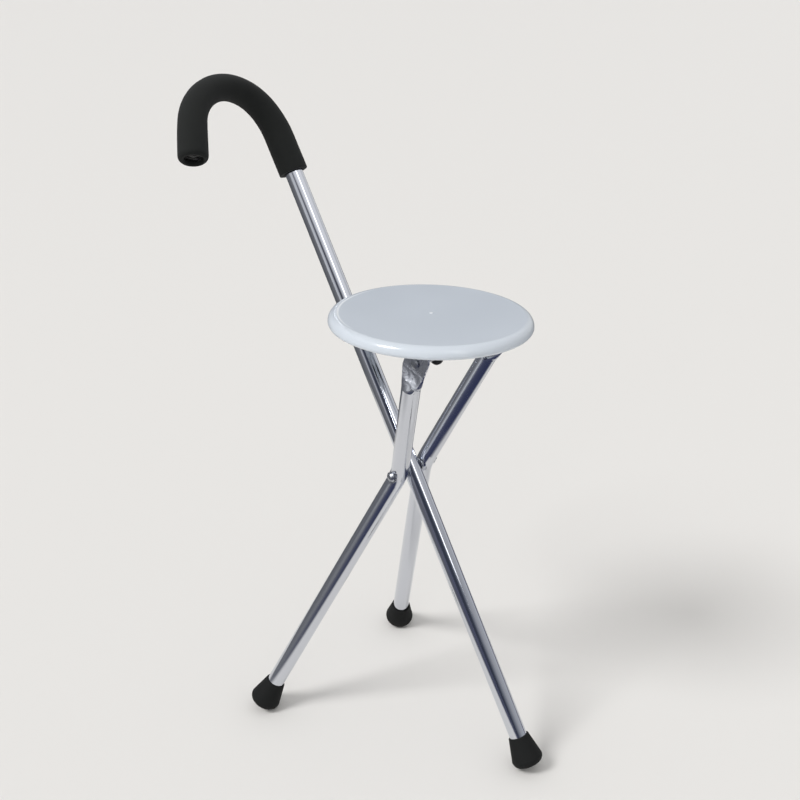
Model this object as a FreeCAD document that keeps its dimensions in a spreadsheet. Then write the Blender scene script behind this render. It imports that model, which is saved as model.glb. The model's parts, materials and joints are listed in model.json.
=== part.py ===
import FreeCAD, Part
import math
import os
import Sketcher

from FreeCAD import Vector

# Walking stick seat: a crook-handled aluminium stick that opens into a three-legged stool.
# Millimetres and degrees. +Z is up and the floor is z = 0. The stick leans back towards -X,
# its foot stands at +X, and the two short legs stand at -X, one each side of the XZ plane.
# The origin is on the floor under the middle of the whole stool.

# Driving dimensions: alias, value. Everything else is worked out from these.
SIZES = (
    # the three aluminium tubes
    ("tube_diameter", 22.0),
    ("tube_wall", 1.5),
    ("shaft_lean", 31.2),
    ("leg_splay", 17.6),
    ("leg_bend_radius", 45.0),
    ("hub_height", 344.0),
    # crook handle, measured along the shaft from the hub
    ("crook_start", 433.0),
    ("crook_radius", 70.6),
    ("crook_turn", 155.2),
    ("crook_tail", 41.0),
    ("crook_twist", 6.0),
    ("grip_diameter", 36.0),
    ("grip_fit", 0.1),
    ("grip_below", 44.0),
    ("grip_past_end", 6.6),
    ("end_plug_cap", 2.0),
    ("end_plug_depth", 12.0),
    ("end_plug_fit", 0.1),
    # flattened tops of the short legs
    ("flat_thickness", 3.6),
    ("flat_below_hinge", 10.0),
    ("flatten_length", 26.0),
    ("tab_rise", 5.0),
    # rubber feet
    ("foot_length", 38.0),
    ("foot_top_diameter", 26.0),
    ("foot_diameter", 39.0),
    ("foot_round", 9.0),
    ("foot_floor", 9.0),
    ("foot_fit", 0.05),
    ("foot_edge", 0.8),
    ("disc_thickness", 1.5),
    # hub
    ("bolt_diameter", 6.0),
    ("pin_fit", 0.05),
    ("bush_wall", 1.0),
    ("spacer_thickness", 2.2),
    ("spacer_diameter", 16.0),
    ("stack_gap", 0.2),
    ("hub_washer_thickness", 1.2),
    ("hub_washer_diameter", 14.0),
    ("bolt_head_diameter", 11.0),
    ("bolt_head_height", 3.6),
    ("nut_across_flats", 10.0),
    ("nut_hex_height", 4.5),
    ("nut_dome_height", 4.2),
    # moulded seat
    ("seat_diameter", 238.0),
    ("seat_shoulder_width", 11.4),
    ("seat_height", 549.0),
    ("seat_gap", 8.0),
    ("seat_depth", 14.3),
    ("seat_wall", 3.4),
    ("seat_shoulder_drop", 9.8),
    ("seat_lip_radius", 4.5),
    ("seat_lip_width", 1.4),
    ("seat_inner_round", 3.0),
    ("seat_pip_diameter", 4.0),
    ("seat_pip_height", 0.5),
    ("rib_thickness", 2.2),
    ("rib_depth", 6.0),
    ("rib_count", 8.0),
    ("rib_ring_diameter", 132.0),
    ("rib_hub_diameter", 34.0),
    ("boss_diameter", 12.0),
    ("pilot_diameter", 3.2),
    ("pilot_depth", 9.0),
    # seat hinge
    ("hinge_drop", 29.0),
    ("hinge_forward", 44.85),
    ("hinge_pin_diameter", 8.0),
    ("hinge_head_diameter", 11.0),
    ("hinge_head_height", 1.6),
    ("hinge_washer_thickness", 1.5),
    ("hinge_washer_diameter", 16.0),
    ("hinge_clip_thickness", 1.6),
    ("hinge_clip_diameter", 13.0),
    ("bracket_thickness", 2.5),
    ("bracket_length", 28.0),
    ("bracket_width", 31.8),
    ("bracket_lug_radius", 10.0),
    ("bracket_screw_spacing", 16.0),
    # catch
    ("catch_drop", 22.4),
    ("catch_pin_diameter", 5.0),
    ("catch_pin_head", 9.0),
    ("catch_pin_head_height", 1.6),
    ("catch_side_gap", 1.2),
    ("catch_plate_thickness", 2.5),
    ("catch_slot_gap", 0.4),
    ("catch_hook_radius", 7.0),
    ("catch_hook_length", 8.0),
    ("catch_plate_inset", 16.0),
    ("catch_plate_length", 32.0),
    ("catch_screw_inset", 8.0),
    ("catch_screw_spacing", 16.0),
    # screws
    ("screw_diameter", 4.0),
    ("screw_head_diameter", 8.0),
    ("screw_head_height", 2.6),
    ("screw_length", 10.0),
    ("screw_core_diameter", 3.1),
    ("countersink_depth", 1.9),
    ("countersink_taper", 45.0),
)

# Lengths worked out from the driving dimensions: alias, formula.
# The seat stands clear of the shaft by seat_gap, and the short legs lean so that they meet its hinge.
# kink_offset is where the two straight halves of a short leg would meet beside the shaft.
# The middle of the stool is half way between the farthest points of the crook and the feet.
WORKED = (
    ("seat_edge_rise", "sizes.seat_height - sizes.seat_shoulder_drop - sizes.hub_height"),
    ("shaft_half_level", "sizes.tube_diameter / 2 / cos(sizes.shaft_lean)"),
    ("rim_to_shaft", "shaft_half_level + sizes.seat_gap"),
    ("seat_offset", "sizes.seat_diameter / 2 - seat_edge_rise * tan(sizes.shaft_lean) + rim_to_shaft"),
    ("hinge_height", "sizes.seat_height - sizes.hinge_drop"),
    ("leg_lean", "atan((seat_offset + sizes.hinge_forward) / (hinge_height - sizes.hub_height))"),
    ("shoulder_across", "sizes.seat_shoulder_width"),
    ("shoulder_radius", "(shoulder_across ^ 2 + sizes.seat_shoulder_drop ^ 2) / (2 * shoulder_across) + 0.05"),
    ("seat_flat_radius", "sizes.seat_diameter / 2 - shoulder_across"),
    ("leg_offset", "sizes.tube_diameter + sizes.spacer_thickness + 2 * sizes.stack_gap"),
    ("bend_setback", "sizes.leg_bend_radius * (1 / cos(sizes.leg_splay) - 1)"),
    ("kink_offset", "leg_offset - bend_setback"),
    ("bend_tangent", "sizes.leg_bend_radius * tan(sizes.leg_splay)"),
    ("leg_tilt_cosine", "cos(sizes.leg_splay) * cos(leg_lean)"),
    ("leg_tilt", "acos(leg_tilt_cosine)"),
    ("foot_flat", "sizes.foot_diameter / 2 - sizes.foot_round"),
    ("leg_rise", "foot_flat * sin(leg_tilt) + sizes.foot_round * (1 - leg_tilt_cosine)"),
    ("shaft_rise", "foot_flat * sin(sizes.shaft_lean) + sizes.foot_round * (1 - cos(sizes.shaft_lean))"),
    ("leg_low", "(sizes.hub_height - leg_rise) / leg_tilt_cosine"),
    ("shaft_low", "(sizes.hub_height - shaft_rise) / cos(sizes.shaft_lean)"),
    ("leg_tube_low", "leg_low - sizes.foot_floor"),
    ("shaft_tube_low", "shaft_low - sizes.foot_floor"),
    ("leg_high", "(hinge_height - sizes.hub_height) / cos(leg_lean)"),
    ("flat_start", "leg_high - sizes.flat_below_hinge"),
    ("flatten_start", "flat_start - sizes.flatten_length"),
    ("flatten_middle", "(flat_start + flatten_start) / 2"),
    ("flat_offset", "kink_offset + flat_start * tan(sizes.leg_splay)"),
    ("flat_width", "sizes.flat_thickness + pi * (sizes.tube_diameter - sizes.flat_thickness) / 2"),
    ("half_flat_thickness", "(sizes.tube_diameter + sizes.flat_thickness) / 2 - 2"),
    ("half_flat_width", "half_flat_thickness + pi * (sizes.tube_diameter - half_flat_thickness) / 2"),
    ("grip_tail", "sizes.crook_tail + sizes.grip_past_end"),
    ("bush_diameter", "sizes.bolt_diameter + 2 * sizes.pin_fit + 2 * sizes.bush_wall"),
    ("bend_hollow", "sizes.leg_bend_radius - sizes.tube_diameter / 2"),
    ("washer_rise", "bend_hollow - sqrt(bend_hollow ^ 2 - sizes.hub_washer_diameter ^ 2 / 4)"),
    ("hub_half_width", "leg_offset + sizes.tube_diameter / 2 + washer_rise + sizes.stack_gap / 2"),
    ("bracket_outer", "flat_offset - sizes.flat_thickness / 2 - sizes.hinge_washer_thickness - 2 * sizes.stack_gap"),
    ("bracket_inner", "bracket_outer - sizes.bracket_width"),
    ("flat_outer", "flat_offset + sizes.flat_thickness / 2 + sizes.stack_gap"),
    ("catch_inner", "sizes.tube_diameter / 2 + sizes.catch_side_gap"),
    ("catch_outer", "catch_inner + sizes.catch_plate_thickness"),
    ("catch_rise", "sizes.seat_height - sizes.hub_height - sizes.catch_drop"),
    ("catch_pin_height", "catch_rise / cos(sizes.shaft_lean)"),
    ("catch_forward", "-catch_rise * tan(sizes.shaft_lean) - seat_offset"),
    ("catch_plate_end", "sizes.seat_diameter / 2 - sizes.catch_plate_inset"),
    ("catch_plate_start", "catch_plate_end - sizes.catch_plate_length"),
    ("catch_screw_near", "catch_plate_start + sizes.catch_screw_inset"),
    ("catch_screw_far", "catch_screw_near + sizes.catch_screw_spacing"),
    ("crook_side", "-sin(sizes.crook_twist) * cos(sizes.shaft_lean)"),
    ("crook_swing", "crook_side + sqrt(crook_side ^ 2 + sin(sizes.shaft_lean) ^ 2)"),
    ("back_reach", "sizes.crook_start * sin(sizes.shaft_lean) + sizes.crook_radius * crook_swing + sizes.grip_diameter / 2"),
    ("front_reach", "(shaft_low - sizes.foot_round) * sin(sizes.shaft_lean) + foot_flat * cos(sizes.shaft_lean) + sizes.foot_round"),
    ("crook_end_side", "(sizes.crook_radius * (1 - cos(sizes.crook_turn)) + grip_tail * sin(sizes.crook_turn)) * cos(sizes.crook_twist)"),
    ("left_reach", "crook_end_side + sizes.grip_diameter / 2 * cos(90 - sizes.crook_turn / 2 + 12)"),
    ("right_reach", "kink_offset + (leg_low - sizes.foot_round) * sin(sizes.leg_splay) + foot_flat * cos(sizes.leg_splay) + sizes.foot_round"),
    ("middle_x", "(front_reach - back_reach) / 2"),
    ("middle_y", "(right_reach - left_reach) / 2"),
)

HUB = "vector(-worked.middle_x; -worked.middle_y; sizes.hub_height)"
SHAFT_FRAME = "placement(" + HUB + "; rotation(vector(0; 1; 0); -sizes.shaft_lean))"
LEG_FRAME = "placement(" + HUB + "; rotation(vector(0; 1; 0); worked.leg_lean))"
HUB_FRAME = "placement(" + HUB + "; rotation(vector(0; 1; 0); 0))"
SEAT_FRAME = (
    "placement(vector(worked.seat_offset - worked.middle_x; -worked.middle_y; sizes.seat_height);"
    " rotation(vector(0; 1; 0); 0))"
)

TUBE_RADIUS = "sizes.tube_diameter / 2"
BORE_RADIUS = "sizes.tube_diameter / 2 - sizes.tube_wall"

doc = FreeCAD.newDocument("WalkingStickSeat")


def make_sheet(name, rows, lead):
    """A spreadsheet with one named value on each row."""
    sheet = doc.addObject("Spreadsheet::Sheet", name)
    for row, (alias, value) in enumerate(rows, start=1):
        sheet.set("A%d" % row, alias)
        sheet.set("B%d" % row, lead + str(value))
        sheet.setAlias("B%d" % row, alias)
    doc.recompute()
    return sheet


sizes = make_sheet("sizes", SIZES, "")
worked = make_sheet("worked", WORKED, "=")


# Modelling helpers

def value(text):
    """The present value of an expression."""
    return float(sizes.evalExpression(text))


def make_body(label, frame):
    """A body whose own frame is placed by an expression."""
    body = doc.addObject("PartDesign::Body", label)
    body.Label = label
    body.AllowCompound = True
    body.setExpression("Placement", frame)
    return body


def origin_of(body, role):
    """One of the body's own origin planes or axes."""
    for feature in body.Origin.OriginFeatures:
        if feature.Role == role:
            return feature
    raise RuntimeError("no " + role)


def make_sketch(body, role, offset=None):
    """A sketch on an origin plane, moved by an optional placement expression."""
    sketch = body.newObject("Sketcher::SketchObject", body.Label + "_sketch")
    sketch.AttachmentSupport = [(origin_of(body, role), "")]
    sketch.MapMode = "FlatFace"
    if offset:
        sketch.setExpression("AttachmentOffset", offset)
    return sketch


def raised(height):
    """A sketch plane's offset along its normal."""
    return "placement(vector(0; 0; " + height + "); rotation(vector(0; 0; 1); 0))"


def bind(sketch, constraint, text):
    """Add a constraint and tie it to an expression."""
    index = sketch.addConstraint(constraint)
    sketch.setExpression("Constraints[%d]" % index, text)


def fix_point(sketch, edge, end, x_text, y_text):
    """Tie one point of a sketch to two coordinates."""
    for kind, text in (("DistanceX", x_text), ("DistanceY", y_text)):
        bind(sketch, Sketcher.Constraint(kind, -1, 1, edge, end, value(text)), text)


def add_circle(sketch, radius, x_text="0", y_text="0"):
    """A full circle."""
    centre = Vector(value(x_text), value(y_text), 0)
    edge = sketch.addGeometry(Part.Circle(centre, Vector(0, 0, 1), value(radius)))
    bind(sketch, Sketcher.Constraint("Radius", edge, value(radius)), radius)
    fix_point(sketch, edge, 3, x_text, y_text)
    return edge


def arc_between(start, finish, radius, left):
    """The shorter arc from start to finish, its centre on the left or right of the way."""
    chord = finish - start
    half = chord.Length / 2
    rise = math.sqrt(max(radius * radius - half * half, 0.0))
    normal = Vector(-chord.y, chord.x, 0).normalize()
    side = 1 if left else -1
    centre = (start + finish) * 0.5 + normal * (rise * side)
    from_angle = math.atan2(start.y - centre.y, start.x - centre.x)
    to_angle = math.atan2(finish.y - centre.y, finish.x - centre.x)
    circle = Part.Circle(centre, Vector(0, 0, 1), radius)
    if left:
        return Part.ArcOfCircle(circle, from_angle, to_angle)
    return Part.ArcOfCircle(circle, to_angle, from_angle)


def add_outline(sketch, steps, closed=True):
    """An outline through points; a step with a radius is reached by an arc.

    Each step is (x, y) or (x, y, radius, "left" or "right"), all expressions. The side says
    where the arc's centre lies, seen along the way. An arc's two ends and its radius fix it.
    """
    points = [Vector(value(step[0]), value(step[1]), 0) for step in steps]
    spans = list(range(1, len(steps)))
    if closed:
        spans.append(0)
    edges = []
    for index in spans:
        start = points[index - 1]
        finish = points[index]
        step = steps[index]
        if len(step) == 2:
            edge = sketch.addGeometry(Part.LineSegment(start, finish))
            ends = (1, 2)
        else:
            left = step[3] == "left"
            edge = sketch.addGeometry(arc_between(start, finish, value(step[2]), left))
            ends = (1, 2) if left else (2, 1)
            bind(sketch, Sketcher.Constraint("Radius", edge, value(step[2])), step[2])
        edges.append((edge, ends))
        fix_point(sketch, edge, ends[1], step[0], step[1])
    for (edge, ends), (following, following_ends) in zip(edges, edges[1:]):
        sketch.addConstraint(
            Sketcher.Constraint("Coincident", edge, ends[1], following, following_ends[0])
        )
    if closed:
        last, last_ends = edges[-1]
        first, first_ends = edges[0]
        sketch.addConstraint(
            Sketcher.Constraint("Coincident", last, last_ends[1], first, first_ends[0])
        )
    else:
        first, first_ends = edges[0]
        fix_point(sketch, first, first_ends[0], steps[0][0], steps[0][1])
    return edges


def add_rectangle(sketch, left, bottom, right, top):
    """An upright rectangle."""
    add_outline(sketch, ((left, bottom), (right, bottom), (right, top), (left, top)))


def finish_feature(body, feature):
    """Recompute a new feature and make it the body's tip."""
    body.Tip = feature
    doc.recompute()
    return feature


def pad(body, sketch, length, middle=False):
    """Pad a sketch along its normal, or half each way."""
    feature = body.newObject("PartDesign::Pad", body.Label + "_pad")
    feature.Profile = sketch
    feature.setExpression("Length", length)
    feature.SideType = "Symmetric" if middle else "One side"
    return finish_feature(body, feature)


def pocket(body, sketch, length=None, middle=True, flip=False):
    """Cut a sketch through, or to a depth, and make sure that it cut something."""
    before = body.Shape.Volume
    feature = body.newObject("PartDesign::Pocket", body.Label + "_pocket")
    feature.Profile = sketch
    if length is None:
        feature.Type = "ThroughAll"
    else:
        feature.setExpression("Length", length)
    feature.SideType = "Symmetric" if middle else "One side"
    feature.Reversed = flip
    finish_feature(body, feature)
    if body.Shape.Volume > before - 0.01:
        raise RuntimeError(body.Label + ": a pocket cut nothing")
    return feature


def revolve(body, sketch):
    """Turn a sketch drawn on the XZ plane once round the body's Z axis."""
    feature = body.newObject("PartDesign::Revolution", body.Label + "_revolution")
    feature.Profile = sketch
    feature.ReferenceAxis = (origin_of(body, "Z_Axis"), [""])
    feature.Angle = 360
    return finish_feature(body, feature)


def turned(label, frame, steps):
    """A turned piece from its half outline, given as (radius, height) steps."""
    body = make_body(label, frame)
    add_outline_sketch = make_sketch(body, "XZ_Plane")
    add_outline(add_outline_sketch, steps)
    revolve(body, add_outline_sketch)
    return body


def round_edges(body, feature, radius, wanted):
    """Fillet the edges of a feature that pass a test."""
    names = []
    for index, edge in enumerate(feature.Shape.Edges, start=1):
        if wanted(edge):
            names.append("Edge%d" % index)
    if not names:
        raise RuntimeError(body.Label + ": no edge to round")
    fillet = body.newObject("PartDesign::Fillet", body.Label + "_fillet")
    fillet.Base = (feature, names)
    fillet.setExpression("Radius", radius)
    return finish_feature(body, fillet)


def dome_radius(edge, height):
    """The radius of a dome whose centre lies on its own axis."""
    return "((" + edge + ") ^ 2 + (" + height + ") ^ 2) / (2 * (" + height + "))"


def along_y(place, side):
    """A frame whose Z axis points along +Y or -Y, at a place given in the outer frame."""
    return " * placement(" + place + "; rotation(vector(1; 0; 0); " + str(-90 * side) + "))"


# Shaft with crook handle. In the shaft's frame Z runs up the tube and the hub bolt lies along Y.

def crook_spine(body, low, tail):
    """The line of the shaft and crook: straight, one bend, and a short straight tail."""
    sketch = make_sketch(
        body,
        "YZ_Plane",
        "placement(vector(0; 0; 0); rotation(vector(0; 1; 0); sizes.crook_twist))",
    )
    across = "-sizes.crook_radius * (1 - cos(sizes.crook_turn))"
    up = "sizes.crook_start + sizes.crook_radius * sin(sizes.crook_turn)"
    top_across = "-sizes.crook_radius * (1 - cos(sizes.crook_turn / 2))"
    top_up = "sizes.crook_start + sizes.crook_radius * sin(sizes.crook_turn / 2)"
    steps = (
        ("0", low),
        ("0", "sizes.crook_start"),
        (top_across, top_up, "sizes.crook_radius", "left"),
        (across, up, "sizes.crook_radius", "left"),
        (
            across + " - (" + tail + ") * sin(sizes.crook_turn)",
            up + " + (" + tail + ") * cos(sizes.crook_turn)",
        ),
    )
    add_outline(sketch, steps, closed=False)
    return sketch


def sweep_tube(body, outer, inner, spine, start):
    """Sweep a ring along a spine that starts on the body's Z axis."""
    ring = make_sketch(body, "XY_Plane", raised(start))
    add_circle(ring, outer)
    add_circle(ring, inner)
    doc.recompute()
    feature = body.newObject("PartDesign::AdditivePipe", body.Label + "_pipe")
    feature.Profile = ring
    feature.Spine = (spine, ["Edge%d" % (i + 1) for i in range(spine.GeometryCount)])
    return finish_feature(body, feature)


def make_cane_tube():
    body = make_body("cane_tube", SHAFT_FRAME)
    spine = crook_spine(body, "-worked.shaft_tube_low", "sizes.crook_tail")
    sweep_tube(body, TUBE_RADIUS, BORE_RADIUS, spine, "-worked.shaft_tube_low")
    holes = make_sketch(body, "XZ_Plane")
    add_circle(holes, "worked.bush_diameter / 2 + sizes.pin_fit")
    add_circle(holes, "sizes.catch_pin_diameter / 2 + sizes.pin_fit", "0", "worked.catch_pin_height")
    pocket(body, holes, "2 * sizes.tube_diameter")
    return body


def make_foam_grip():
    body = make_body("foam_grip", SHAFT_FRAME)
    start = "sizes.crook_start - sizes.grip_below"
    spine = crook_spine(body, start, "worked.grip_tail")
    sweep_tube(body, "sizes.grip_diameter / 2", TUBE_RADIUS + " + sizes.grip_fit", spine, start)
    return body


def crook_end_frame():
    """At the free end of the crook tube, Z pointing out of it."""
    across = "-(sizes.crook_radius * (1 - cos(sizes.crook_turn)) + sizes.crook_tail * sin(sizes.crook_turn))"
    up = "sizes.crook_start + sizes.crook_radius * sin(sizes.crook_turn) + sizes.crook_tail * cos(sizes.crook_turn)"
    return (
        SHAFT_FRAME
        + " * placement(vector(0; 0; 0); rotation(vector(0; 0; 1); sizes.crook_twist))"
        + " * placement(vector(0; " + across + "; " + up + "); rotation(vector(1; 0; 0); sizes.crook_turn))"
    )


def make_end_plug():
    stem = BORE_RADIUS + " - sizes.end_plug_fit"
    steps = (
        ("0", "-sizes.end_plug_depth"),
        (stem + " - 1", "-sizes.end_plug_depth"),
        (stem, "1 - sizes.end_plug_depth"),
        (stem, "0"),
        (TUBE_RADIUS, "0"),
        (TUBE_RADIUS, "sizes.end_plug_cap / 2"),
        (TUBE_RADIUS + " - sizes.end_plug_cap / 2", "sizes.end_plug_cap", "sizes.end_plug_cap / 2", "left"),
        ("0", "sizes.end_plug_cap"),
    )
    return turned("grip_end_plug", crook_end_frame(), steps)


# Short legs. In a leg's frame Z runs up in the XZ plane, and the tube bends outwards above and
# below the hub. side is -1 for the left leg, at -Y, and +1 for the right.

def leg_spine(body, side):
    sketch = make_sketch(body, "YZ_Plane")
    s = str(side) + " * "
    low = "-(worked.leg_tube_low)"
    bend = "worked.bend_tangent"
    steps = (
        (s + "(worked.kink_offset + worked.leg_tube_low * sin(sizes.leg_splay))", low + " * cos(sizes.leg_splay)"),
        (s + "(worked.kink_offset + " + bend + " * sin(sizes.leg_splay))", "-" + bend + " * cos(sizes.leg_splay)"),
        (
            s + "(worked.kink_offset + " + bend + " * sin(sizes.leg_splay))",
            bend + " * cos(sizes.leg_splay)",
            "sizes.leg_bend_radius",
            "right" if side > 0 else "left",
        ),
        (s + "(worked.kink_offset + worked.flatten_start * tan(sizes.leg_splay))", "worked.flatten_start"),
    )
    add_outline(sketch, steps, closed=False)
    return sketch


def section_plane(side, offset, height, splay):
    """An offset for a sketch square to the leg's line at a height."""
    return (
        "placement(vector(0; " + str(side) + " * (" + offset + "); " + height + ");"
        " rotation(vector(1; 0; 0); " + str(-side) + " * " + splay + "))"
    )


def leg_section(body, side, offset, height, splay, width, thickness, shrink):
    """One section of the flattened part; shrink gives the inside of the wall."""
    sketch = make_sketch(body, "XY_Plane", section_plane(side, offset, height, splay))
    across = "(" + width + ") / 2 - " + shrink
    through = "(" + thickness + ") / 2 - " + shrink
    corner = "0.7071 * (" + through + ")"
    reach = "(" + across + ") - (" + through + ")"
    steps = (
        (reach + " + " + corner, corner, through, "left"),
        ("-(" + reach + ") - " + corner, corner, "40 * sizes.tube_diameter", "left"),
        ("-(" + reach + ") - " + corner, "-(" + corner + ")", through, "left"),
        (reach + " + " + corner, "-(" + corner + ")", "40 * sizes.tube_diameter", "left"),
    )
    add_outline(sketch, steps)
    return sketch


def round_section(body, side, radius):
    """The round section where the flattening starts, in four arcs like the pressed ones."""
    sketch = make_sketch(
        body,
        "XY_Plane",
        section_plane(
            side,
            "worked.kink_offset + worked.flatten_start * tan(sizes.leg_splay)",
            "worked.flatten_start",
            "sizes.leg_splay",
        ),
    )
    corner = "0.7071 * (" + radius + ")"
    steps = (
        (corner, corner, radius, "left"),
        ("-" + corner, corner, radius, "left"),
        ("-" + corner, "-" + corner, radius, "left"),
        (corner, "-" + corner, radius, "left"),
    )
    add_outline(sketch, steps)
    return sketch


def flattening(body, side, kind, shrink):
    """Loft from the round tube to the pressed end, added or cut."""
    first = round_section(body, side, TUBE_RADIUS + " - " + shrink)
    middle = leg_section(
        body,
        side,
        "worked.kink_offset + worked.flatten_middle * tan(sizes.leg_splay)",
        "worked.flatten_middle",
        "sizes.leg_splay * 0.6",
        "worked.half_flat_width",
        "worked.half_flat_thickness",
        shrink,
    )
    last = leg_section(
        body,
        side,
        "worked.flat_offset",
        "worked.flat_start",
        "0",
        "worked.flat_width",
        "sizes.flat_thickness",
        shrink,
    )
    doc.recompute()
    feature = body.newObject(kind, body.Label + "_flattening")
    feature.Profile = first
    feature.Sections = [middle, last]
    return finish_feature(body, feature)


def make_leg_tube(label, side):
    body = make_body(label, LEG_FRAME)
    spine = leg_spine(body, side)
    ring = make_sketch(
        body,
        "XY_Plane",
        section_plane(
            side,
            "worked.kink_offset + worked.leg_tube_low * sin(sizes.leg_splay)",
            "-worked.leg_tube_low * cos(sizes.leg_splay)",
            "-sizes.leg_splay",
        ),
    )
    add_circle(ring, TUBE_RADIUS)
    add_circle(ring, BORE_RADIUS)
    doc.recompute()
    pipe = body.newObject("PartDesign::AdditivePipe", label + "_pipe")
    pipe.Profile = ring
    pipe.Spine = (spine, ["Edge1", "Edge2", "Edge3"])
    finish_feature(body, pipe)
    flattening(body, side, "PartDesign::AdditiveLoft", "0")
    flattening(body, side, "PartDesign::SubtractiveLoft", "sizes.tube_wall")
    tab = leg_section(
        body, side, "worked.flat_offset", "worked.flat_start", "0", "worked.flat_width", "sizes.flat_thickness", "0"
    )
    pad(body, tab, "sizes.flat_below_hinge + sizes.tab_rise + worked.flat_width / 2 + 1")
    trim = make_sketch(body, "XZ_Plane", raised(str(-side) + " * worked.flat_offset"))
    half = "worked.flat_width / 2"
    round_from = "worked.leg_high + sizes.tab_rise"
    steps = (
        ("-" + half + " - 1", round_from),
        ("-" + half, round_from),
        ("0", round_from + " + " + half, half, "right"),
        (half, round_from, half, "right"),
        (half + " + 1", round_from),
        (half + " + 1", round_from + " + worked.flat_width"),
        ("-" + half + " - 1", round_from + " + worked.flat_width"),
    )
    add_outline(trim, steps)
    pocket(body, trim, "2 * sizes.flat_thickness")
    hinge = make_sketch(body, "XZ_Plane", raised(str(-side) + " * worked.flat_offset"))
    add_circle(hinge, "sizes.hinge_pin_diameter / 2 + sizes.pin_fit", "0", "worked.leg_high")
    pocket(body, hinge, "2 * sizes.flat_thickness")
    bolt = make_sketch(body, "XZ_Plane", raised(str(-side) + " * worked.leg_offset"))
    add_circle(bolt, "sizes.bolt_diameter / 2 + sizes.pin_fit")
    pocket(body, bolt, "1.5 * sizes.tube_diameter")
    return body


# Rubber feet, each turned about its tube's line, with a steel disc under the tube's end.

def leg_foot_frame(side):
    return (
        LEG_FRAME
        + " * placement(vector(0; " + str(side) + " * (worked.kink_offset + worked.leg_low * sin(sizes.leg_splay));"
        + " -worked.leg_low * cos(sizes.leg_splay)); rotation(vector(1; 0; 0); " + str(side) + " * sizes.leg_splay))"
    )


SHAFT_FOOT_FRAME = SHAFT_FRAME + " * placement(vector(0; 0; -worked.shaft_low); rotation(vector(0; 1; 0); 0))"


def make_ferrule(label, frame):
    rim = "sizes.foot_diameter / 2"
    top = "sizes.foot_top_diameter / 2"
    bore = TUBE_RADIUS + " + sizes.foot_fit"
    steps = (
        ("0", "0"),
        ("worked.foot_flat", "0"),
        (rim, "sizes.foot_round", "sizes.foot_round", "left"),
        (top, "sizes.foot_length - sizes.foot_edge"),
        (top + " - sizes.foot_edge", "sizes.foot_length", "sizes.foot_edge", "left"),
        (bore, "sizes.foot_length"),
        (bore, "sizes.foot_floor"),
        (bore, "sizes.foot_floor - sizes.disc_thickness - sizes.foot_fit"),
        ("0", "sizes.foot_floor - sizes.disc_thickness - sizes.foot_fit"),
    )
    return turned(label, frame, steps)


def make_disc(label, frame):
    edge = TUBE_RADIUS + " - sizes.foot_fit"
    steps = (
        ("0", "sizes.foot_floor - sizes.disc_thickness"),
        (edge, "sizes.foot_floor - sizes.disc_thickness"),
        (edge, "sizes.foot_floor - sizes.foot_fit"),
        ("0", "sizes.foot_floor - sizes.foot_fit"),
    )
    return turned(label, frame, steps)


# Hub: one bolt along Y through both legs and the shaft. Heights below are distances from the
# middle of the hub along the bolt.

def hub_side_frame(side):
    return HUB_FRAME + along_y("vector(0; 0; 0)", side)


def add_ring(body, inner, outer, low, high, role="XY_Plane"):
    """A flat ring between two heights."""
    sketch = make_sketch(body, role, raised(low))
    add_circle(sketch, outer)
    add_circle(sketch, inner)
    return pad(body, sketch, "(" + high + ") - (" + low + ")")


def mirrored_ring(label, frame, inner, outer, low, high):
    """Two like rings, one each side of the hub or seat, as one group."""
    body = make_body(label, frame)
    ring = add_ring(body, inner, outer, low, high)
    mirror = body.newObject("PartDesign::Mirrored", label + "_mirror")
    mirror.Originals = [ring]
    mirror.MirrorPlane = (origin_of(body, "XY_Plane"), [""])
    finish_feature(body, mirror)
    return body


def make_hub():
    bolt_hole = "sizes.bolt_diameter / 2 + sizes.pin_fit"
    frame = hub_side_frame(1)
    bush = make_body("cane_hub_bush", frame)
    ring = make_sketch(bush, "XY_Plane")
    add_circle(ring, "worked.bush_diameter / 2")
    add_circle(ring, bolt_hole)
    pad(bush, ring, "sizes.tube_diameter", middle=True)
    mirrored_ring(
        "hub_spacers",
        frame,
        bolt_hole,
        "sizes.spacer_diameter / 2",
        TUBE_RADIUS + " + sizes.stack_gap",
        TUBE_RADIUS + " + sizes.stack_gap + sizes.spacer_thickness",
    )
    mirrored_ring(
        "hub_washers",
        frame,
        bolt_hole,
        "sizes.hub_washer_diameter / 2",
        "worked.hub_half_width",
        "worked.hub_half_width + sizes.hub_washer_thickness",
    )
    head = "worked.hub_half_width + sizes.hub_washer_thickness + sizes.stack_gap / 2"
    shank = "sizes.bolt_diameter / 2"
    far = "-(" + head + " + sizes.nut_hex_height + 1)"
    edge = "sizes.bolt_head_diameter / 2"
    steps = (
        ("0", far),
        (shank + " - 0.5", far),
        (shank, far + " + 0.5"),
        (shank, head),
        (edge, head),
        (edge, head + " + sizes.bolt_head_height / 4"),
        ("0", head + " + sizes.bolt_head_height", dome_radius(edge, "sizes.bolt_head_height * 0.75"), "left"),
    )
    turned("hub_bolt", hub_side_frame(-1), steps)
    make_hub_nut(frame, head)
    return bush


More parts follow.
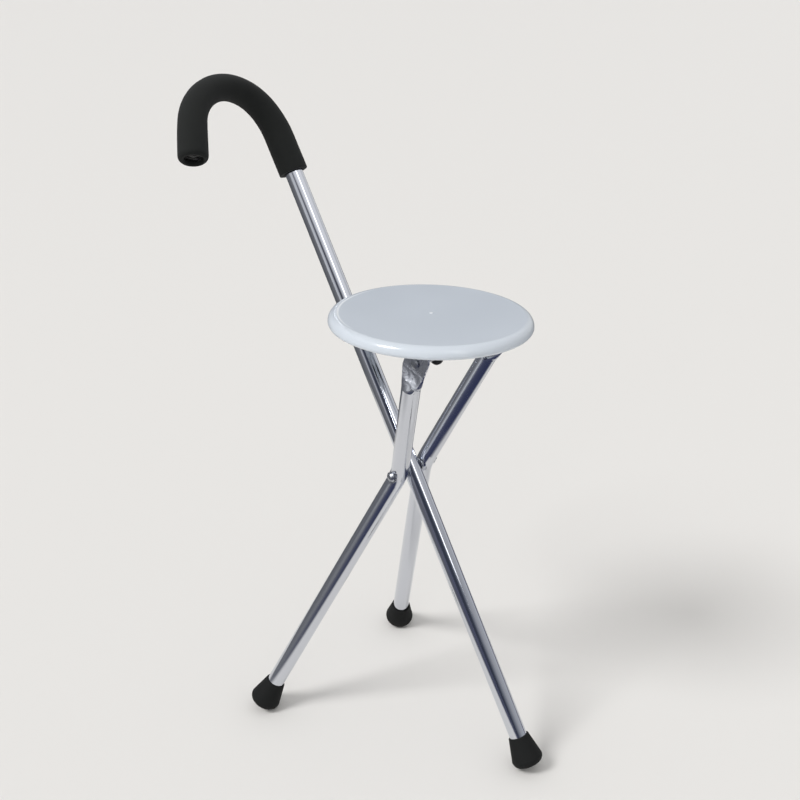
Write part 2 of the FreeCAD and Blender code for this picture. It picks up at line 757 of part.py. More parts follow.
def make_hub_nut(frame, seat):
    """A hexagon nut with a dome closed over the bolt's end."""
    body = make_body("hub_nut", frame)
    hexagon = make_sketch(body, "XY_Plane", raised(seat))
    corner = "sizes.nut_across_flats / 2 / cos(30)"
    steps = []
    for index in range(6):
        angle = str(60 * index)
        steps.append((corner + " * cos(" + angle + ")", corner + " * sin(" + angle + ")"))
    add_outline(hexagon, steps)
    pad(body, hexagon, "sizes.nut_hex_height")
    dome = make_sketch(body, "XZ_Plane")
    base = "0.46 * sizes.nut_across_flats"
    low = seat + " + sizes.nut_hex_height"
    steps = (
        ("0", low + " - 1"),
        (base, low + " - 1"),
        (base, low),
        ("0", low + " + sizes.nut_dome_height", dome_radius(base, "sizes.nut_dome_height"), "left"),
    )
    add_outline(dome, steps)
    revolve(body, dome)
    hole = make_sketch(body, "XY_Plane", raised(seat))
    add_circle(hole, "sizes.bolt_diameter / 2 + sizes.pin_fit")
    pocket(body, hole, "sizes.nut_hex_height + 1.2", middle=False, flip=True)
    return body


# Catch: a pin through the shaft, and a fork under the seat whose two slotted arms drop over it.

def make_catch_pin():
    shank = "sizes.catch_pin_diameter / 2"
    head = "sizes.catch_pin_head / 2"
    out = "worked.catch_outer + sizes.stack_gap * 2"
    dome = dome_radius(head, "sizes.catch_pin_head_height")
    steps = (
        ("0", "-(" + out + ") - sizes.catch_pin_head_height"),
        (head, "-(" + out + ")", dome, "left"),
        (shank, "-(" + out + ")"),
        (shank, out),
        (head, out),
        ("0", out + " + sizes.catch_pin_head_height", dome, "left"),
    )
    frame = SHAFT_FRAME + along_y("vector(0; 0; worked.catch_pin_height)", 1)
    return turned("catch_pin", frame, steps)


def make_catch_bracket():
    body = make_body("catch_bracket", SEAT_FRAME)
    side = make_sketch(body, "XZ_Plane")
    pin_x = "worked.catch_forward"
    pin_z = "-sizes.catch_drop"
    lean_s = "sin(sizes.shaft_lean)"
    lean_c = "cos(sizes.shaft_lean)"
    hook = "sizes.catch_hook_radius"
    drop = "sizes.catch_hook_length"
    back_x = pin_x + " - " + hook + " * " + lean_c
    back_z = pin_z + " - " + hook + " * " + lean_s
    low_z = back_z + " - " + drop + " * " + lean_c
    steps = (
        ("-worked.catch_plate_start", "-sizes.seat_depth"),
        ("-worked.catch_plate_end", "-sizes.seat_depth"),
        ("-worked.catch_plate_end - 1", "-sizes.seat_depth - 1"),
        (pin_x, pin_z + " + " + hook),
        (back_x, back_z, hook, "left"),
        (back_x + " + " + drop + " * " + lean_s, low_z),
        ("-worked.catch_plate_end", low_z),
        ("-worked.catch_plate_start", "-sizes.seat_depth - sizes.catch_plate_thickness - 3"),
    )
    add_outline(side, steps)
    pad(body, side, "2 * worked.catch_outer", middle=True)
    channel = make_sketch(body, "YZ_Plane", raised("-worked.catch_plate_start + 1"))
    low = "-sizes.seat_depth - 10 * sizes.catch_plate_thickness"
    under = "-sizes.seat_depth - sizes.catch_plate_thickness"
    add_rectangle(channel, "-worked.catch_inner", low, "worked.catch_inner", under)
    pocket(body, channel, "100", middle=False, flip=False)
    gap = make_sketch(body, "XY_Plane", raised("0"))
    add_rectangle(
        gap, pin_x + " - 2 * " + hook, "-worked.catch_inner", "-worked.catch_plate_end", "worked.catch_inner"
    )
    pocket(body, gap, "100", middle=False)
    cut_catch_slot(body, pin_x, pin_z, lean_s, lean_c)
    screws = make_sketch(body, "XY_Plane")
    for place in ("-worked.catch_screw_near", "-worked.catch_screw_far"):
        add_circle(screws, "sizes.screw_diameter / 2 + 0.2", place, "0")
    pocket(body, screws, "100", middle=False)
    cone = make_sketch(body, "XY_Plane", raised("-sizes.seat_depth - sizes.catch_plate_thickness"))
    for place in ("-worked.catch_screw_near", "-worked.catch_screw_far"):
        add_circle(cone, "sizes.screw_head_diameter / 2 + 0.15", place, "0")
    sink = pocket(body, cone, "sizes.countersink_depth", middle=False, flip=True)
    sink.setExpression("TaperAngle", "-sizes.countersink_taper")
    doc.recompute()
    return body


def cut_catch_slot(body, pin_x, pin_z, lean_s, lean_c):
    """The open slot in both arms, running down along the shaft from the pin."""
    slot = make_sketch(body, "XZ_Plane")
    half = "(sizes.catch_pin_diameter / 2 + sizes.catch_slot_gap)"
    far = "3 * sizes.catch_hook_length"
    left_x = pin_x + " - " + half + " * " + lean_c
    left_z = pin_z + " - " + half + " * " + lean_s
    right_x = pin_x + " + " + half + " * " + lean_c
    right_z = pin_z + " + " + half + " * " + lean_s
    top_x = pin_x + " - " + half + " * " + lean_s
    top_z = pin_z + " + " + half + " * " + lean_c
    along_x = far + " * " + lean_s
    along_z = far + " * " + lean_c
    steps = (
        (right_x, right_z),
        (top_x, top_z, half, "left"),
        (left_x, left_z, half, "left"),
        (left_x + " + " + along_x + " - 2", left_z + " - " + along_z),
        (right_x + " + " + along_x + " + 2", right_z + " - " + along_z),
    )
    add_outline(slot, steps)
    pocket(body, slot, "4 * worked.catch_outer")


# Moulded seat. The frame's origin is the middle of the flat top.

SEAT_UNDER = "-sizes.seat_wall"


def make_seat_shell():
    edge = "sizes.seat_diameter / 2"
    flat = "worked.seat_flat_radius"
    lip = edge + " - sizes.seat_lip_radius"
    inner = lip + " - sizes.seat_lip_width"
    turn = "sizes.seat_inner_round"
    steps = (
        ("0", "0"),
        ("0", SEAT_UNDER),
        (inner + " - " + turn, SEAT_UNDER),
        (inner, SEAT_UNDER + " - " + turn, turn, "right"),
        (inner, "-sizes.seat_depth"),
        (lip, "-sizes.seat_depth"),
        (edge, "-sizes.seat_depth + sizes.seat_lip_radius", "sizes.seat_lip_radius", "left"),
        (edge, "-sizes.seat_shoulder_drop + 0.01"),
        (flat, "0", "worked.shoulder_radius", "left"),
    )
    body = turned("seat_shell", SEAT_FRAME, steps)
    add_seat_ribs(body, inner)
    add_seat_bosses(body)
    pip = make_sketch(body, "XY_Plane", raised("-1"))
    add_circle(pip, "sizes.seat_pip_diameter / 2")
    pad(body, pip, "sizes.seat_pip_height + 1")
    return body


def add_seat_ribs(body, inner):
    """A ring rib, a hub ring and radial ribs that stiffen the flat top from below."""
    floor = raised(SEAT_UNDER + " - sizes.rib_depth")
    depth = "sizes.rib_depth + sizes.seat_wall / 2"
    for diameter in ("sizes.rib_ring_diameter", "sizes.rib_hub_diameter"):
        ring = make_sketch(body, "XY_Plane", floor)
        add_circle(ring, diameter + " / 2")
        add_circle(ring, diameter + " / 2 - sizes.rib_thickness")
        pad(body, ring, depth)
    spoke = make_sketch(body, "XY_Plane", floor)
    half = "sizes.rib_thickness / 2"
    add_rectangle(spoke, "sizes.rib_hub_diameter / 2 - 1", "-" + half, inner + " + 0.5", half)
    first = pad(body, spoke, depth)
    pattern = body.newObject("PartDesign::PolarPattern", "seat_ribs")
    pattern.Originals = [first]
    pattern.Axis = (origin_of(body, "Z_Axis"), [""])
    pattern.Angle = 360
    pattern.setExpression("Occurrences", "sizes.rib_count")
    finish_feature(body, pattern)


def boss_places():
    """Where a screw boss stands under the seat: x and y expressions."""
    middle = "(worked.bracket_inner + worked.bracket_outer) / 2"
    places = []
    for side in ("-", ""):
        for half in ("-", "+"):
            x = "sizes.hinge_forward " + half + " sizes.bracket_screw_spacing / 2"
            places.append((x, side + middle))
    places.append(("-worked.catch_screw_near", "0"))
    places.append(("-worked.catch_screw_far", "0"))
    return places


def add_seat_bosses(body):
    """Bosses for the bracket screws, level with the rim's lower edge, with blind pilot holes."""
    bosses = make_sketch(body, "XY_Plane", raised("-sizes.seat_depth"))
    pilots = make_sketch(body, "XY_Plane", raised("-sizes.seat_depth"))
    for x, y in boss_places():
        add_circle(bosses, "sizes.boss_diameter / 2", x, y)
        add_circle(pilots, "sizes.pilot_diameter / 2", x, y)
    pad(body, bosses, "sizes.seat_depth - sizes.seat_wall / 2")
    pocket(body, pilots, "sizes.pilot_depth", middle=False, flip=True)


# Seat hinge: on each side a bracket with two lugs, a headed pin through the lugs and the leg's
# flattened top, a washer between bracket and leg, and a clip on the pin's inner end.

def hinge_frame():
    """At the hinge line in the middle plane of the stool."""
    return SEAT_FRAME + (
        " * placement(vector(sizes.hinge_forward; 0; -sizes.hinge_drop); rotation(vector(0; 1; 0); 0))"
    )


def make_hinge_bracket(label, side):
    body = make_body(label, hinge_frame())
    profile = make_sketch(body, "XZ_Plane", raised(str(-side) + " * worked.bracket_inner"))
    top = "sizes.hinge_drop - sizes.seat_depth"
    under = top + " - sizes.bracket_thickness"
    half = "sizes.bracket_length / 2"
    lug = "sizes.bracket_lug_radius"
    steps = (
        ("-" + half, top),
        ("-" + half, under),
        ("-" + lug, "0"),
        ("0", "-" + lug, lug, "left"),
        (lug, "0", lug, "left"),
        (half, under),
        (half, top),
    )
    add_outline(profile, steps)
    feature = body.newObject("PartDesign::Pad", label + "_pad")
    feature.Profile = profile
    feature.setExpression("Length", "sizes.bracket_width")
    feature.Reversed = side > 0
    finish_feature(body, feature)
    channel = make_sketch(
        body,
        "XZ_Plane",
        raised(str(-side) + " * (worked.bracket_inner + sizes.bracket_width / 2)"),
    )
    add_rectangle(channel, "-" + half + " - 1", "-2 * " + lug, half + " + 1", under)
    pocket(body, channel, "sizes.bracket_width - 2 * sizes.bracket_thickness")
    pin = make_sketch(
        body,
        "XZ_Plane",
        raised(str(-side) + " * (worked.bracket_inner + sizes.bracket_width / 2)"),
    )
    add_circle(pin, "sizes.hinge_pin_diameter / 2 + sizes.pin_fit")
    pocket(body, pin, "2 * sizes.bracket_width")
    screws = make_sketch(body, "XY_Plane", raised(top + " + 1"))
    for half_spacing in ("-sizes.bracket_screw_spacing / 2", "sizes.bracket_screw_spacing / 2"):
        add_circle(
            screws,
            "sizes.screw_diameter / 2 + 0.2",
            half_spacing,
            str(side) + " * (worked.bracket_inner + worked.bracket_outer) / 2",
        )
    pocket(body, screws, "sizes.bracket_thickness + 2", middle=False)
    return body


def make_hinge_pin(label, side):
    head = "worked.flat_outer"
    edge = "sizes.hinge_head_diameter / 2"
    shank = "sizes.hinge_pin_diameter / 2"
    inner = "worked.bracket_inner - sizes.stack_gap - sizes.hinge_clip_thickness - 1.5"
    steps = (
        ("0", inner),
        (shank + " - 0.6", inner),
        (shank, inner + " + 0.6"),
        (shank, head),
        (edge, head),
        (edge, head + " + sizes.hinge_head_height / 3"),
        ("0", head + " + sizes.hinge_head_height", dome_radius(edge, "sizes.hinge_head_height * 2 / 3"), "left"),
    )
    return turned(label, hinge_frame() + along_y("vector(0; 0; 0)", side), steps)


def make_hinge_rings():
    frame = hinge_frame() + along_y("vector(0; 0; 0)", 1)
    hole = "sizes.hinge_pin_diameter / 2 + sizes.pin_fit"
    low = "worked.bracket_outer + sizes.stack_gap"
    mirrored_ring(
        "hinge_washers", frame, hole, "sizes.hinge_washer_diameter / 2", low, low + " + sizes.hinge_washer_thickness"
    )
    high = "worked.bracket_inner - sizes.stack_gap"
    mirrored_ring(
        "hinge_clips", frame, hole, "sizes.hinge_clip_diameter / 2", high + " - sizes.hinge_clip_thickness", high
    )


# Screws, each group in one piece of hardware.

def make_screws(label, places, under):
    """Pan-head screws pointing up; under is the height of the plate face they clamp."""
    body = make_body(label, SEAT_FRAME)
    core = "sizes.screw_core_diameter / 2"
    head = make_sketch(body, "XY_Plane", raised(under + " - 0.05 - sizes.screw_head_height"))
    shank = make_sketch(body, "XY_Plane", raised(under + " - 1"))
    for x, y in places:
        add_circle(head, "sizes.screw_head_diameter / 2", x, y)
        add_circle(shank, core, x, y)
    heads = pad(body, head, "sizes.screw_head_height")
    pad(body, shank, "sizes.screw_length")
    low = value(under + " - 0.05 - sizes.screw_head_height")
    last = body.Tip
    round_edges(body, last, "sizes.screw_head_height * 0.45", lambda e: is_low_rim(e, low, heads))
    return body


def make_countersunk_screws(label, places, under):
    """Countersunk screws pointing up, their heads flush with the plate face they clamp."""
    body = make_body(label, SEAT_FRAME)
    head = make_sketch(body, "XY_Plane", raised(under))
    shank = make_sketch(body, "XY_Plane", raised(under + " + sizes.countersink_depth / 2"))
    for x, y in places:
        add_circle(head, "sizes.screw_head_diameter / 2", x, y)
        add_circle(shank, "sizes.screw_core_diameter / 2", x, y)
    cone = pad(body, head, "sizes.countersink_depth")
    cone.setExpression("TaperAngle", "-sizes.countersink_taper")
    pad(body, shank, "sizes.screw_length - sizes.countersink_depth")
    return body


def is_low_rim(edge, low, heads):
    """A circular edge that lies in a plane near the heads' lower face."""
    box = edge.BoundBox
    level = box.ZMax - box.ZMin < 0.001 and abs(box.ZMin - low) < 0.001
    return level and len(heads.Shape.Solids) > 0


# The whole stool

make_cane_tube()
make_foam_grip()
make_end_plug()
make_catch_pin()
make_ferrule("cane_ferrule", SHAFT_FOOT_FRAME)
make_disc("cane_ferrule_disc", SHAFT_FOOT_FRAME)
for side, word in ((-1, "left"), (1, "right")):
    make_leg_tube(word + "_leg_tube", side)
    make_ferrule(word + "_ferrule", leg_foot_frame(side))
    make_disc(word + "_ferrule_disc", leg_foot_frame(side))
    make_hinge_bracket(word + "_hinge_bracket", side)
    make_hinge_pin(word + "_hinge_pin", side)
make_hub()
make_hinge_rings()
make_seat_shell()
make_catch_bracket()
PLACES = boss_places()
PLATE_UNDER = "-sizes.seat_depth - sizes.bracket_thickness"
CATCH_UNDER = "-sizes.seat_depth - sizes.catch_plate_thickness"
make_screws("hinge_screws", PLACES[:4], PLATE_UNDER)
make_countersunk_screws("catch_screws", PLACES[4:], CATCH_UNDER)

doc.recompute()

for item in doc.Objects:
    if "Invalid" in item.State or "Error" in item.State:
        raise RuntimeError(item.Label + " failed: " + str(item.State))

pieces = [item for item in doc.Objects if item.TypeId == "PartDesign::Body"]
for piece in pieces:
    if piece.Shape.isNull() or not piece.Shape.isValid():
        raise RuntimeError(piece.Label + " has no valid shape")

os.makedirs("parts", exist_ok=True)
for piece in pieces:
    piece.Shape.exportStep("parts/" + piece.Label + ".step")

print("pieces", len(pieces))
print("middle", value("worked.middle_x"), value("worked.middle_y"))
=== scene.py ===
import json
import math

import bpy
from mathutils import Matrix, Vector


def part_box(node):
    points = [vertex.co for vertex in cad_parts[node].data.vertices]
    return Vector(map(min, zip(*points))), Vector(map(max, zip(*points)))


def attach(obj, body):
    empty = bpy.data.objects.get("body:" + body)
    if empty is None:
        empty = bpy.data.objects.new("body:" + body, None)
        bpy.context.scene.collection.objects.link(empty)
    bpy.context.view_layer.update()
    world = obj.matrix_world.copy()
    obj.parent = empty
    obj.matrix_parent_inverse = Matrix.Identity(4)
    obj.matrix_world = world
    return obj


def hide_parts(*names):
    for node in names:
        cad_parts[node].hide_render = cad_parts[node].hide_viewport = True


bl_info = {
    "name": "Walking Stick Seat Dresser",
    "version": (1, 0, 0),
    "blender": (4, 5, 0),
    "location": "3D View > Sidebar > Stick Seat",
    "description": "Dresses the frame of a folding walking stick seat and sets up its studio",
    "category": "Object",
}

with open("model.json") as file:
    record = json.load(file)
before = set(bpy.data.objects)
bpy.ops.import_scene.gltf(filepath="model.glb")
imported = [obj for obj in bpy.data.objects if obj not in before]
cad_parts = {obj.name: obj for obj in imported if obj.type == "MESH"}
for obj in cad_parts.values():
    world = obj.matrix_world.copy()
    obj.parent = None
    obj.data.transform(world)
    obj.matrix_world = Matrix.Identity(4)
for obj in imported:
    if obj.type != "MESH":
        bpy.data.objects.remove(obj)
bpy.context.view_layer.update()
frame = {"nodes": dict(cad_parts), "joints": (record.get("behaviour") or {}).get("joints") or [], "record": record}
NODES = frame["nodes"]
JOINTS = {joint["name"]: joint for joint in frame["joints"]}
HUB = Vector(JOINTS["leg_fold"]["pos_m"])

# The foam's thickness along the grip, in mm: distance from its lower end along its middle
# line, outside radius, and how far it stands out from the bend. Foam is stretched thin over
# the top of the crook and full on both limbs.
GRIP_SHAPE = (
    (0, 17.9, 0.0),
    (45, 17.8, -0.7),
    (70, 17.2, -0.2),
    (85, 16.9, 0.9),
    (105, 16.5, 1.4),
    (125, 16.1, 0.8),
    (140, 16.0, 0.0),
    (160, 15.9, -1.3),
    (180, 16.0, -2.2),
    (200, 16.3, -1.9),
    (220, 16.7, -1.0),
    (240, 17.2, -0.1),
    (255, 17.5, 0.4),
    (290, 17.5, 0.7),
)
# The sleeve's mesh: points round each ring, and rings round the bend.
RING_POINTS = 40
BEND_RINGS = 32

# How slowly the tubes' noise changes along them, against across, which draws it out into
# lines, and how much rougher the lines make the metal.
LINE_SLOWNESS = 0.012
LINE_ROUGHNESS = 0.05
# The flattened top of a leg: how full its ripples are, how much rougher full ripples make it,
# and how far it leans back, in depths of a full ripple.
RIPPLE_SHARE = 0.6
RIPPLE_ROUGHNESS = 0.25
PRESS_LEAN = -3.9

# How deep the foam's pits are, against its grain.
PORE_SHARE = 0.5

# The way from the seat's middle to the side of its rim that faces the key lamp, and how white the painted
# highlight makes the crease there.
HIGHLIGHT_SIDE = (-0.83, -0.56, 0.0)
CREASE_HIGHLIGHT_SHARE = 0.8

# What the tubes mirror at eye level round the studio: compass angle in degrees, from +X
# towards +Y, and colour. Grey cards stand on the camera's left, dark ones behind the camera
# and behind the object, and pale ones between them.
STUDIO_CARDS = (
    (-180, "#75767A"),
    (-130, "#737479"),
    (-113, "#9C9DA0"),
    (-101, "#D6D7D9"),
    (-86, "#CFD0D4"),
    (-74, "#474A55"),
    (-45, "#393E4C"),
    (-22, "#7F828B"),
    (3, "#A6A8AD"),
    (55, "#BFC0C4"),
    (88, "#E6E6E6"),
    (108, "#E6E6E6"),
    (122, "#4A5066"),
    (150, "#4A5066"),
    (164, "#A4A6AA"),
    (180, "#75767A"),
)

# The mirrored ceiling begins at the first height above eye level, in degrees, and hides the
# cards from the second one up.
CEILING_FROM, CEILING_FULL = 19, 34

# The strength of the even light that the studio sheds on everything that isn't a mirror.
STUDIO_LIGHT = 0.63

# The floor's width, and how far it lies below the feet, in metres: a hair, so that it and
# their soles don't share one plane.
FLOOR_WIDTH = 60
FLOOR_DROP = 0.0006

# The pale floor sheet that the tubes mirror, past which their reflection of the floor is painted shade: its middle
# in metres from the point below the hub bolt, the shares of its half size between which it fades out, and how
# round its corners are.
SHEET_SHIFT = (-0.14, 0.24)
SHEET_FADE = (0.82, 1.2)
SHEET_ROUNDNESS = 0.2
# The x between which the painted half-light of the mirrored floor on the left turns into painted shade, in metres.
UNLIT_FADE = (-0.6, 0.5)

# The camera, worked out from the object's outlines: the compass angle that its right side
# points to, its tilt down and its roll in degrees, its place in metres from the point on the
# floor below the hub bolt, its focal length in pixels of the 800-pixel frame, and its sensor
# in mm.
CAMERA_TURN = 40.188
CAMERA_TILT = 22.702
CAMERA_ROLL = 1.595
CAMERA_PLACE = (0.83568, -1.01489, 0.98367)
FOCAL_PIXELS = 1188.9
FRAME_PIXELS = 800.0
SENSOR_WIDTH = 36.0


def hex_to_linear(code):
    """An sRGB hex colour as linear red, green and blue."""
    values = []
    for start in (1, 3, 5):
        c = int(code[start:start + 2], 16) / 255
        values.append(c / 12.92 if c <= 0.04045 else ((c + 0.055) / 1.055) ** 2.4)
    return tuple(values)


# Sizes and colours

def length(name, text, millimetres):
    """A size that is written here in millimetres and kept in metres."""
    return bpy.props.FloatProperty(
        name=name, description=text, default=millimetres / 1000, unit="LENGTH", precision=4
    )


def angle(name, text, degrees):
    """An angle that is written here in degrees and kept in radians."""
    return bpy.props.FloatProperty(
        name=name, description=text, default=math.radians(degrees), unit="ROTATION"
    )


def colour(name, text, code):
    """A colour that is written here as sRGB hex and kept linear."""
    return bpy.props.FloatVectorProperty(
        name=name, description=text, default=hex_to_linear(code), subtype="COLOR", min=0, max=1
    )


class StickSeatSizes(bpy.types.PropertyGroup):
    """The sizes of the grip, of the patterns in the finishes and of the floor"""

    # where the tubes run
    shaft_lean: angle("Shaft lean", "How far the shaft leans back from upright", 31.2)
    leg_lean: angle("Leg lean", "How far the short legs lean forward, seen from the side", 20.7)
    leg_splay: angle("Leg splay", "How far each half of a short leg turns outwards", 17.6)
    tube_radius: length("Tube radius", "Outside radius of the aluminium tube", 11.0)
    crook_start: length("Crook start", "From the hub bolt up the shaft to the bend", 433.0)
    crook_radius: length("Crook radius", "Radius of the bend's middle line", 70.6)
    crook_turn: angle("Crook turn", "How far the crook bends round", 155.2)
    crook_twist: angle("Crook twist", "How far the crook is turned round the shaft", 6.0)

    # the foam grip
    grip_below: length("Grip below bend", "Straight foam below the bend", 44.0)
    grip_tail: length("Grip tail", "Straight foam beyond the bend", 47.6)
    grip_recess: length("Grip recess", "How far the foam runs past the end plug", 4.4)
    grip_play: length("Grip play", "Gap between the tube and the foam's bore", 0.2)
    grip_inside: length("Grip inside", "How far up the bore the sleeve's mesh begins", 14.0)
    foam_pore: length("Foam pore", "Size of the foam skin's pits", 0.9)
    foam_grain: length("Foam grain", "Size of the foam skin's coarser grain", 3.5)
    foam_wear: length("Foam wear", "Size of the foam's paler and darker patches", 24.0)

    # the tubes
    draw_line: length("Draw line", "Spacing of the lines that drawing leaves on the tube", 0.5)
    smear: length("Smear", "Size of the dull smears on the tubes", 28.0)
    press_start: length("Press start", "From the hub bolt up a leg to its flattened top", 150.0)
    press_blend: length("Press blend", "Over which the ripples of the flattened top set in", 12.0)
    press_fall: length("Press fall", "Over which the flattened top leans back", 34.0)
    ripple: length("Ripple", "Size of the ripples of the flattened top", 13.0)
    ripple_depth: length("Ripple depth", "Depth that the shading gives full ripples", 3.0)

    # the seat
    seat_flat: length("Seat flat", "Radius of the seat's flat top inside its rim", 107.6)
    seat_grain: length("Seat grain", "Size of the faint unevenness of the moulded seat", 5.0)
    seat_rub: length("Seat rub", "Size of the duller rubbed patches on the seat", 60.0)
    # Painted highlight on the gate mark: the radius of its white spot, and the radius at which it has faded out.
    gate_highlight: length("Gate mark", "Radius of the white gate mark in the seat's middle", 1.6)
    gate_highlight_edge: length("Gate edge", "Radius at which the gate mark has faded out", 2.4)
    # These two size the painted highlight along the crease, and the two below set the side of the rim that it lies
    # on, the side that faces the key lamp.
    crease: length("Crease", "Half width of the white crease round the flat top", 0.4)
    crease_edge: length("Crease edge", "Half width at which the crease has faded out", 1.8)
    highlight_from: length("Worn from", "How far towards the hand's side the wear sets in", 76.0)
    highlight_full: length("Worn full", "How far towards the hand's side the wear is full", 103.0)

    # the feet and the hardware
    rubber_grit: length("Rubber grit", "Size of the pits in the rubber feet", 1.2)
    dust_height: length("Dust height", "How far up the feet the floor's dust reaches", 12.0)
    zinc_cloud: length("Zinc cloud", "Size of the clouds in the zinc plate", 2.5)
    enamel_peel: length("Enamel peel", "Size of the orange peel in the black enamel", 0.9)
    nylon_skin: length("Nylon skin", "Size of the unevenness of the moulded nylon", 0.8)
    plug_fold: length("Plug fold", "Size of the folds in the crumpled end plug", 5.5)

    # the floor
    sheet_length: length("Sheet length", "Pale floor sheet, along the shaft's plane", 1190.0)
    sheet_width: length("Sheet width", "Pale floor sheet, across the shaft's plane", 1140.0)


class StickSeatColours(bpy.types.PropertyGroup):
    """The colours of the finishes and of the studio"""

    aluminium: colour("Aluminium", "Clear anodised drawn tube", "#D3D6DD")
    foam: colour("Foam", "Skin of the black foam grip", "#161817")
    seat: colour("Seat", "Pale blue-grey moulding", "#C9D0D8")
    # A painted highlight's colour: the white of the gate mark and of the crease line.
    seat_highlight: colour("Worn seat", "White gate mark and rubbed crease of the seat", "#F2F5F8")
    rubber: colour("Rubber", "Black rubber feet", "#151616")
    dust: colour("Dust", "Rubber greyed with dust near the floor", "#34322F")
    zinc: colour("Zinc plate", "Bolt, nut, pins, clips, washers, spacers and screws", "#B9BCC2")
    bracket: colour("Bracket", "Black enamelled pressed steel", "#26272A")
    nylon: colour("Nylon", "Black nylon washers of the hinges and bush of the hub", "#1A1B1D")
    plug: colour("Plug", "Black polythene in the crook's open end", "#0A0B0B")
    floor: colour("Floor", "Pale studio floor", "#E4E2DF")
    studio: colour("Studio", "Pale studio behind the object", "#E7E6E2")
    ceiling: colour("Ceiling", "Pale ceiling that the tubes mirror", "#F2F2F4")
    # Painted shade and half-light: these two are seen only in the tubes' reflections, as an unlit floor past the
    # sheet.
    far_floor_shade: colour("Far floor", "Unlit floor past the sheet, as the tubes mirror it", "#2B3150")
    side_floor_half_light: colour("Side floor", "The same on the left, where a little light falls", "#5F6064")


# Small helpers

def add_node(tree, kind, inputs=None, **settings):
    """Add a node; inputs maps a socket to a value or to another node's output."""
    made = tree.nodes.new(kind)
    for name, setting in settings.items():
        setattr(made, name, setting)
    for key, given in (inputs or {}).items():
        if isinstance(given, bpy.types.NodeSocket):
            tree.links.new(given, made.inputs[key])
        else:
            made.inputs[key].default_value = given
    return made


def new_finish(name, base, metallic, roughness):
    """A material with its Principled shader set to a plain finish."""
    finish = bpy.data.materials.new(name)
    finish.use_nodes = True
    shader = finish.node_tree.nodes["Principled BSDF"]
    shader.inputs["Base Color"].default_value = (*base, 1)
    shader.inputs["Metallic"].default_value = metallic
    shader.inputs["Roughness"].default_value = roughness
    finish.diffuse_color = (*base, 1)
    return finish, finish.node_tree, shader


def shaded(base, factor=1.0):
    """A linear colour made darker or lighter, with the alpha that a colour socket needs."""
    return (*(min(c * factor, 1.0) for c in base), 1)


def nodes_in(slot):
    """The CAD nodes that the record gives this material slot."""
    rows = frame["record"]["subparts"]
    return [row["node"] for row in rows if row["material_slot"] == slot]


def dress(names, finish):
    """Give CAD nodes a finish."""
    for name in names:
        piece = NODES[name]
        piece.data.materials.clear()
        piece.data.materials.append(finish)


def clear_selection():
    """Leave edit mode and select nothing, before a new primitive."""
    if bpy.context.object and bpy.context.object.mode != "OBJECT":
        bpy.ops.object.mode_set(mode="OBJECT")
    bpy.ops.object.select_all(action="DESELECT")


def foam_at(along):
    """The foam's outside radius and its offset from the bend, at a distance along the grip."""
    for (before, thin, shift), (after, thick, moved) in zip(GRIP_SHAPE, GRIP_SHAPE[1:]):
        if along * 1000 <= after:
            share = (along * 1000 - before) / (after - before)
            radius, out = thin + (thick - thin) * share, shift + (moved - shift) * share
            return radius / 1000, out / 1000
    return GRIP_SHAPE[-1][1] / 1000, GRIP_SHAPE[-1][2] / 1000


def along_crook(sizes, along):
    """Where the crook's middle line is, which way is out of the bend, and how far it has turned.

    All are in the shaft's own frame, and along is the distance from the grip's lower end.
    """
    centre = Vector((0, -sizes.crook_radius, sizes.crook_start))
    bend = sizes.crook_radius * sizes.crook_turn
    past = along - sizes.grip_below
    turn = min(max(past, 0) / sizes.crook_radius, sizes.crook_turn)
    outward = Vector((0, math.cos(turn), math.sin(turn)))
    onward = Vector((0, -math.sin(turn), math.cos(turn)))
    straight = min(past, 0) + max(past - bend, 0)
    return centre + outward * sizes.crook_radius + onward * straight, outward, turn


def shaft_matrix(sizes):
    """The shaft's own frame: Z up the tube, origin on the hub bolt."""
    return (
        Matrix.Translation(HUB)
        @ Matrix.Rotation(-sizes.shaft_lean, 4, "Y")
        @ Matrix.Rotation(sizes.crook_twist, 4, "Z")
    )


# Finishes

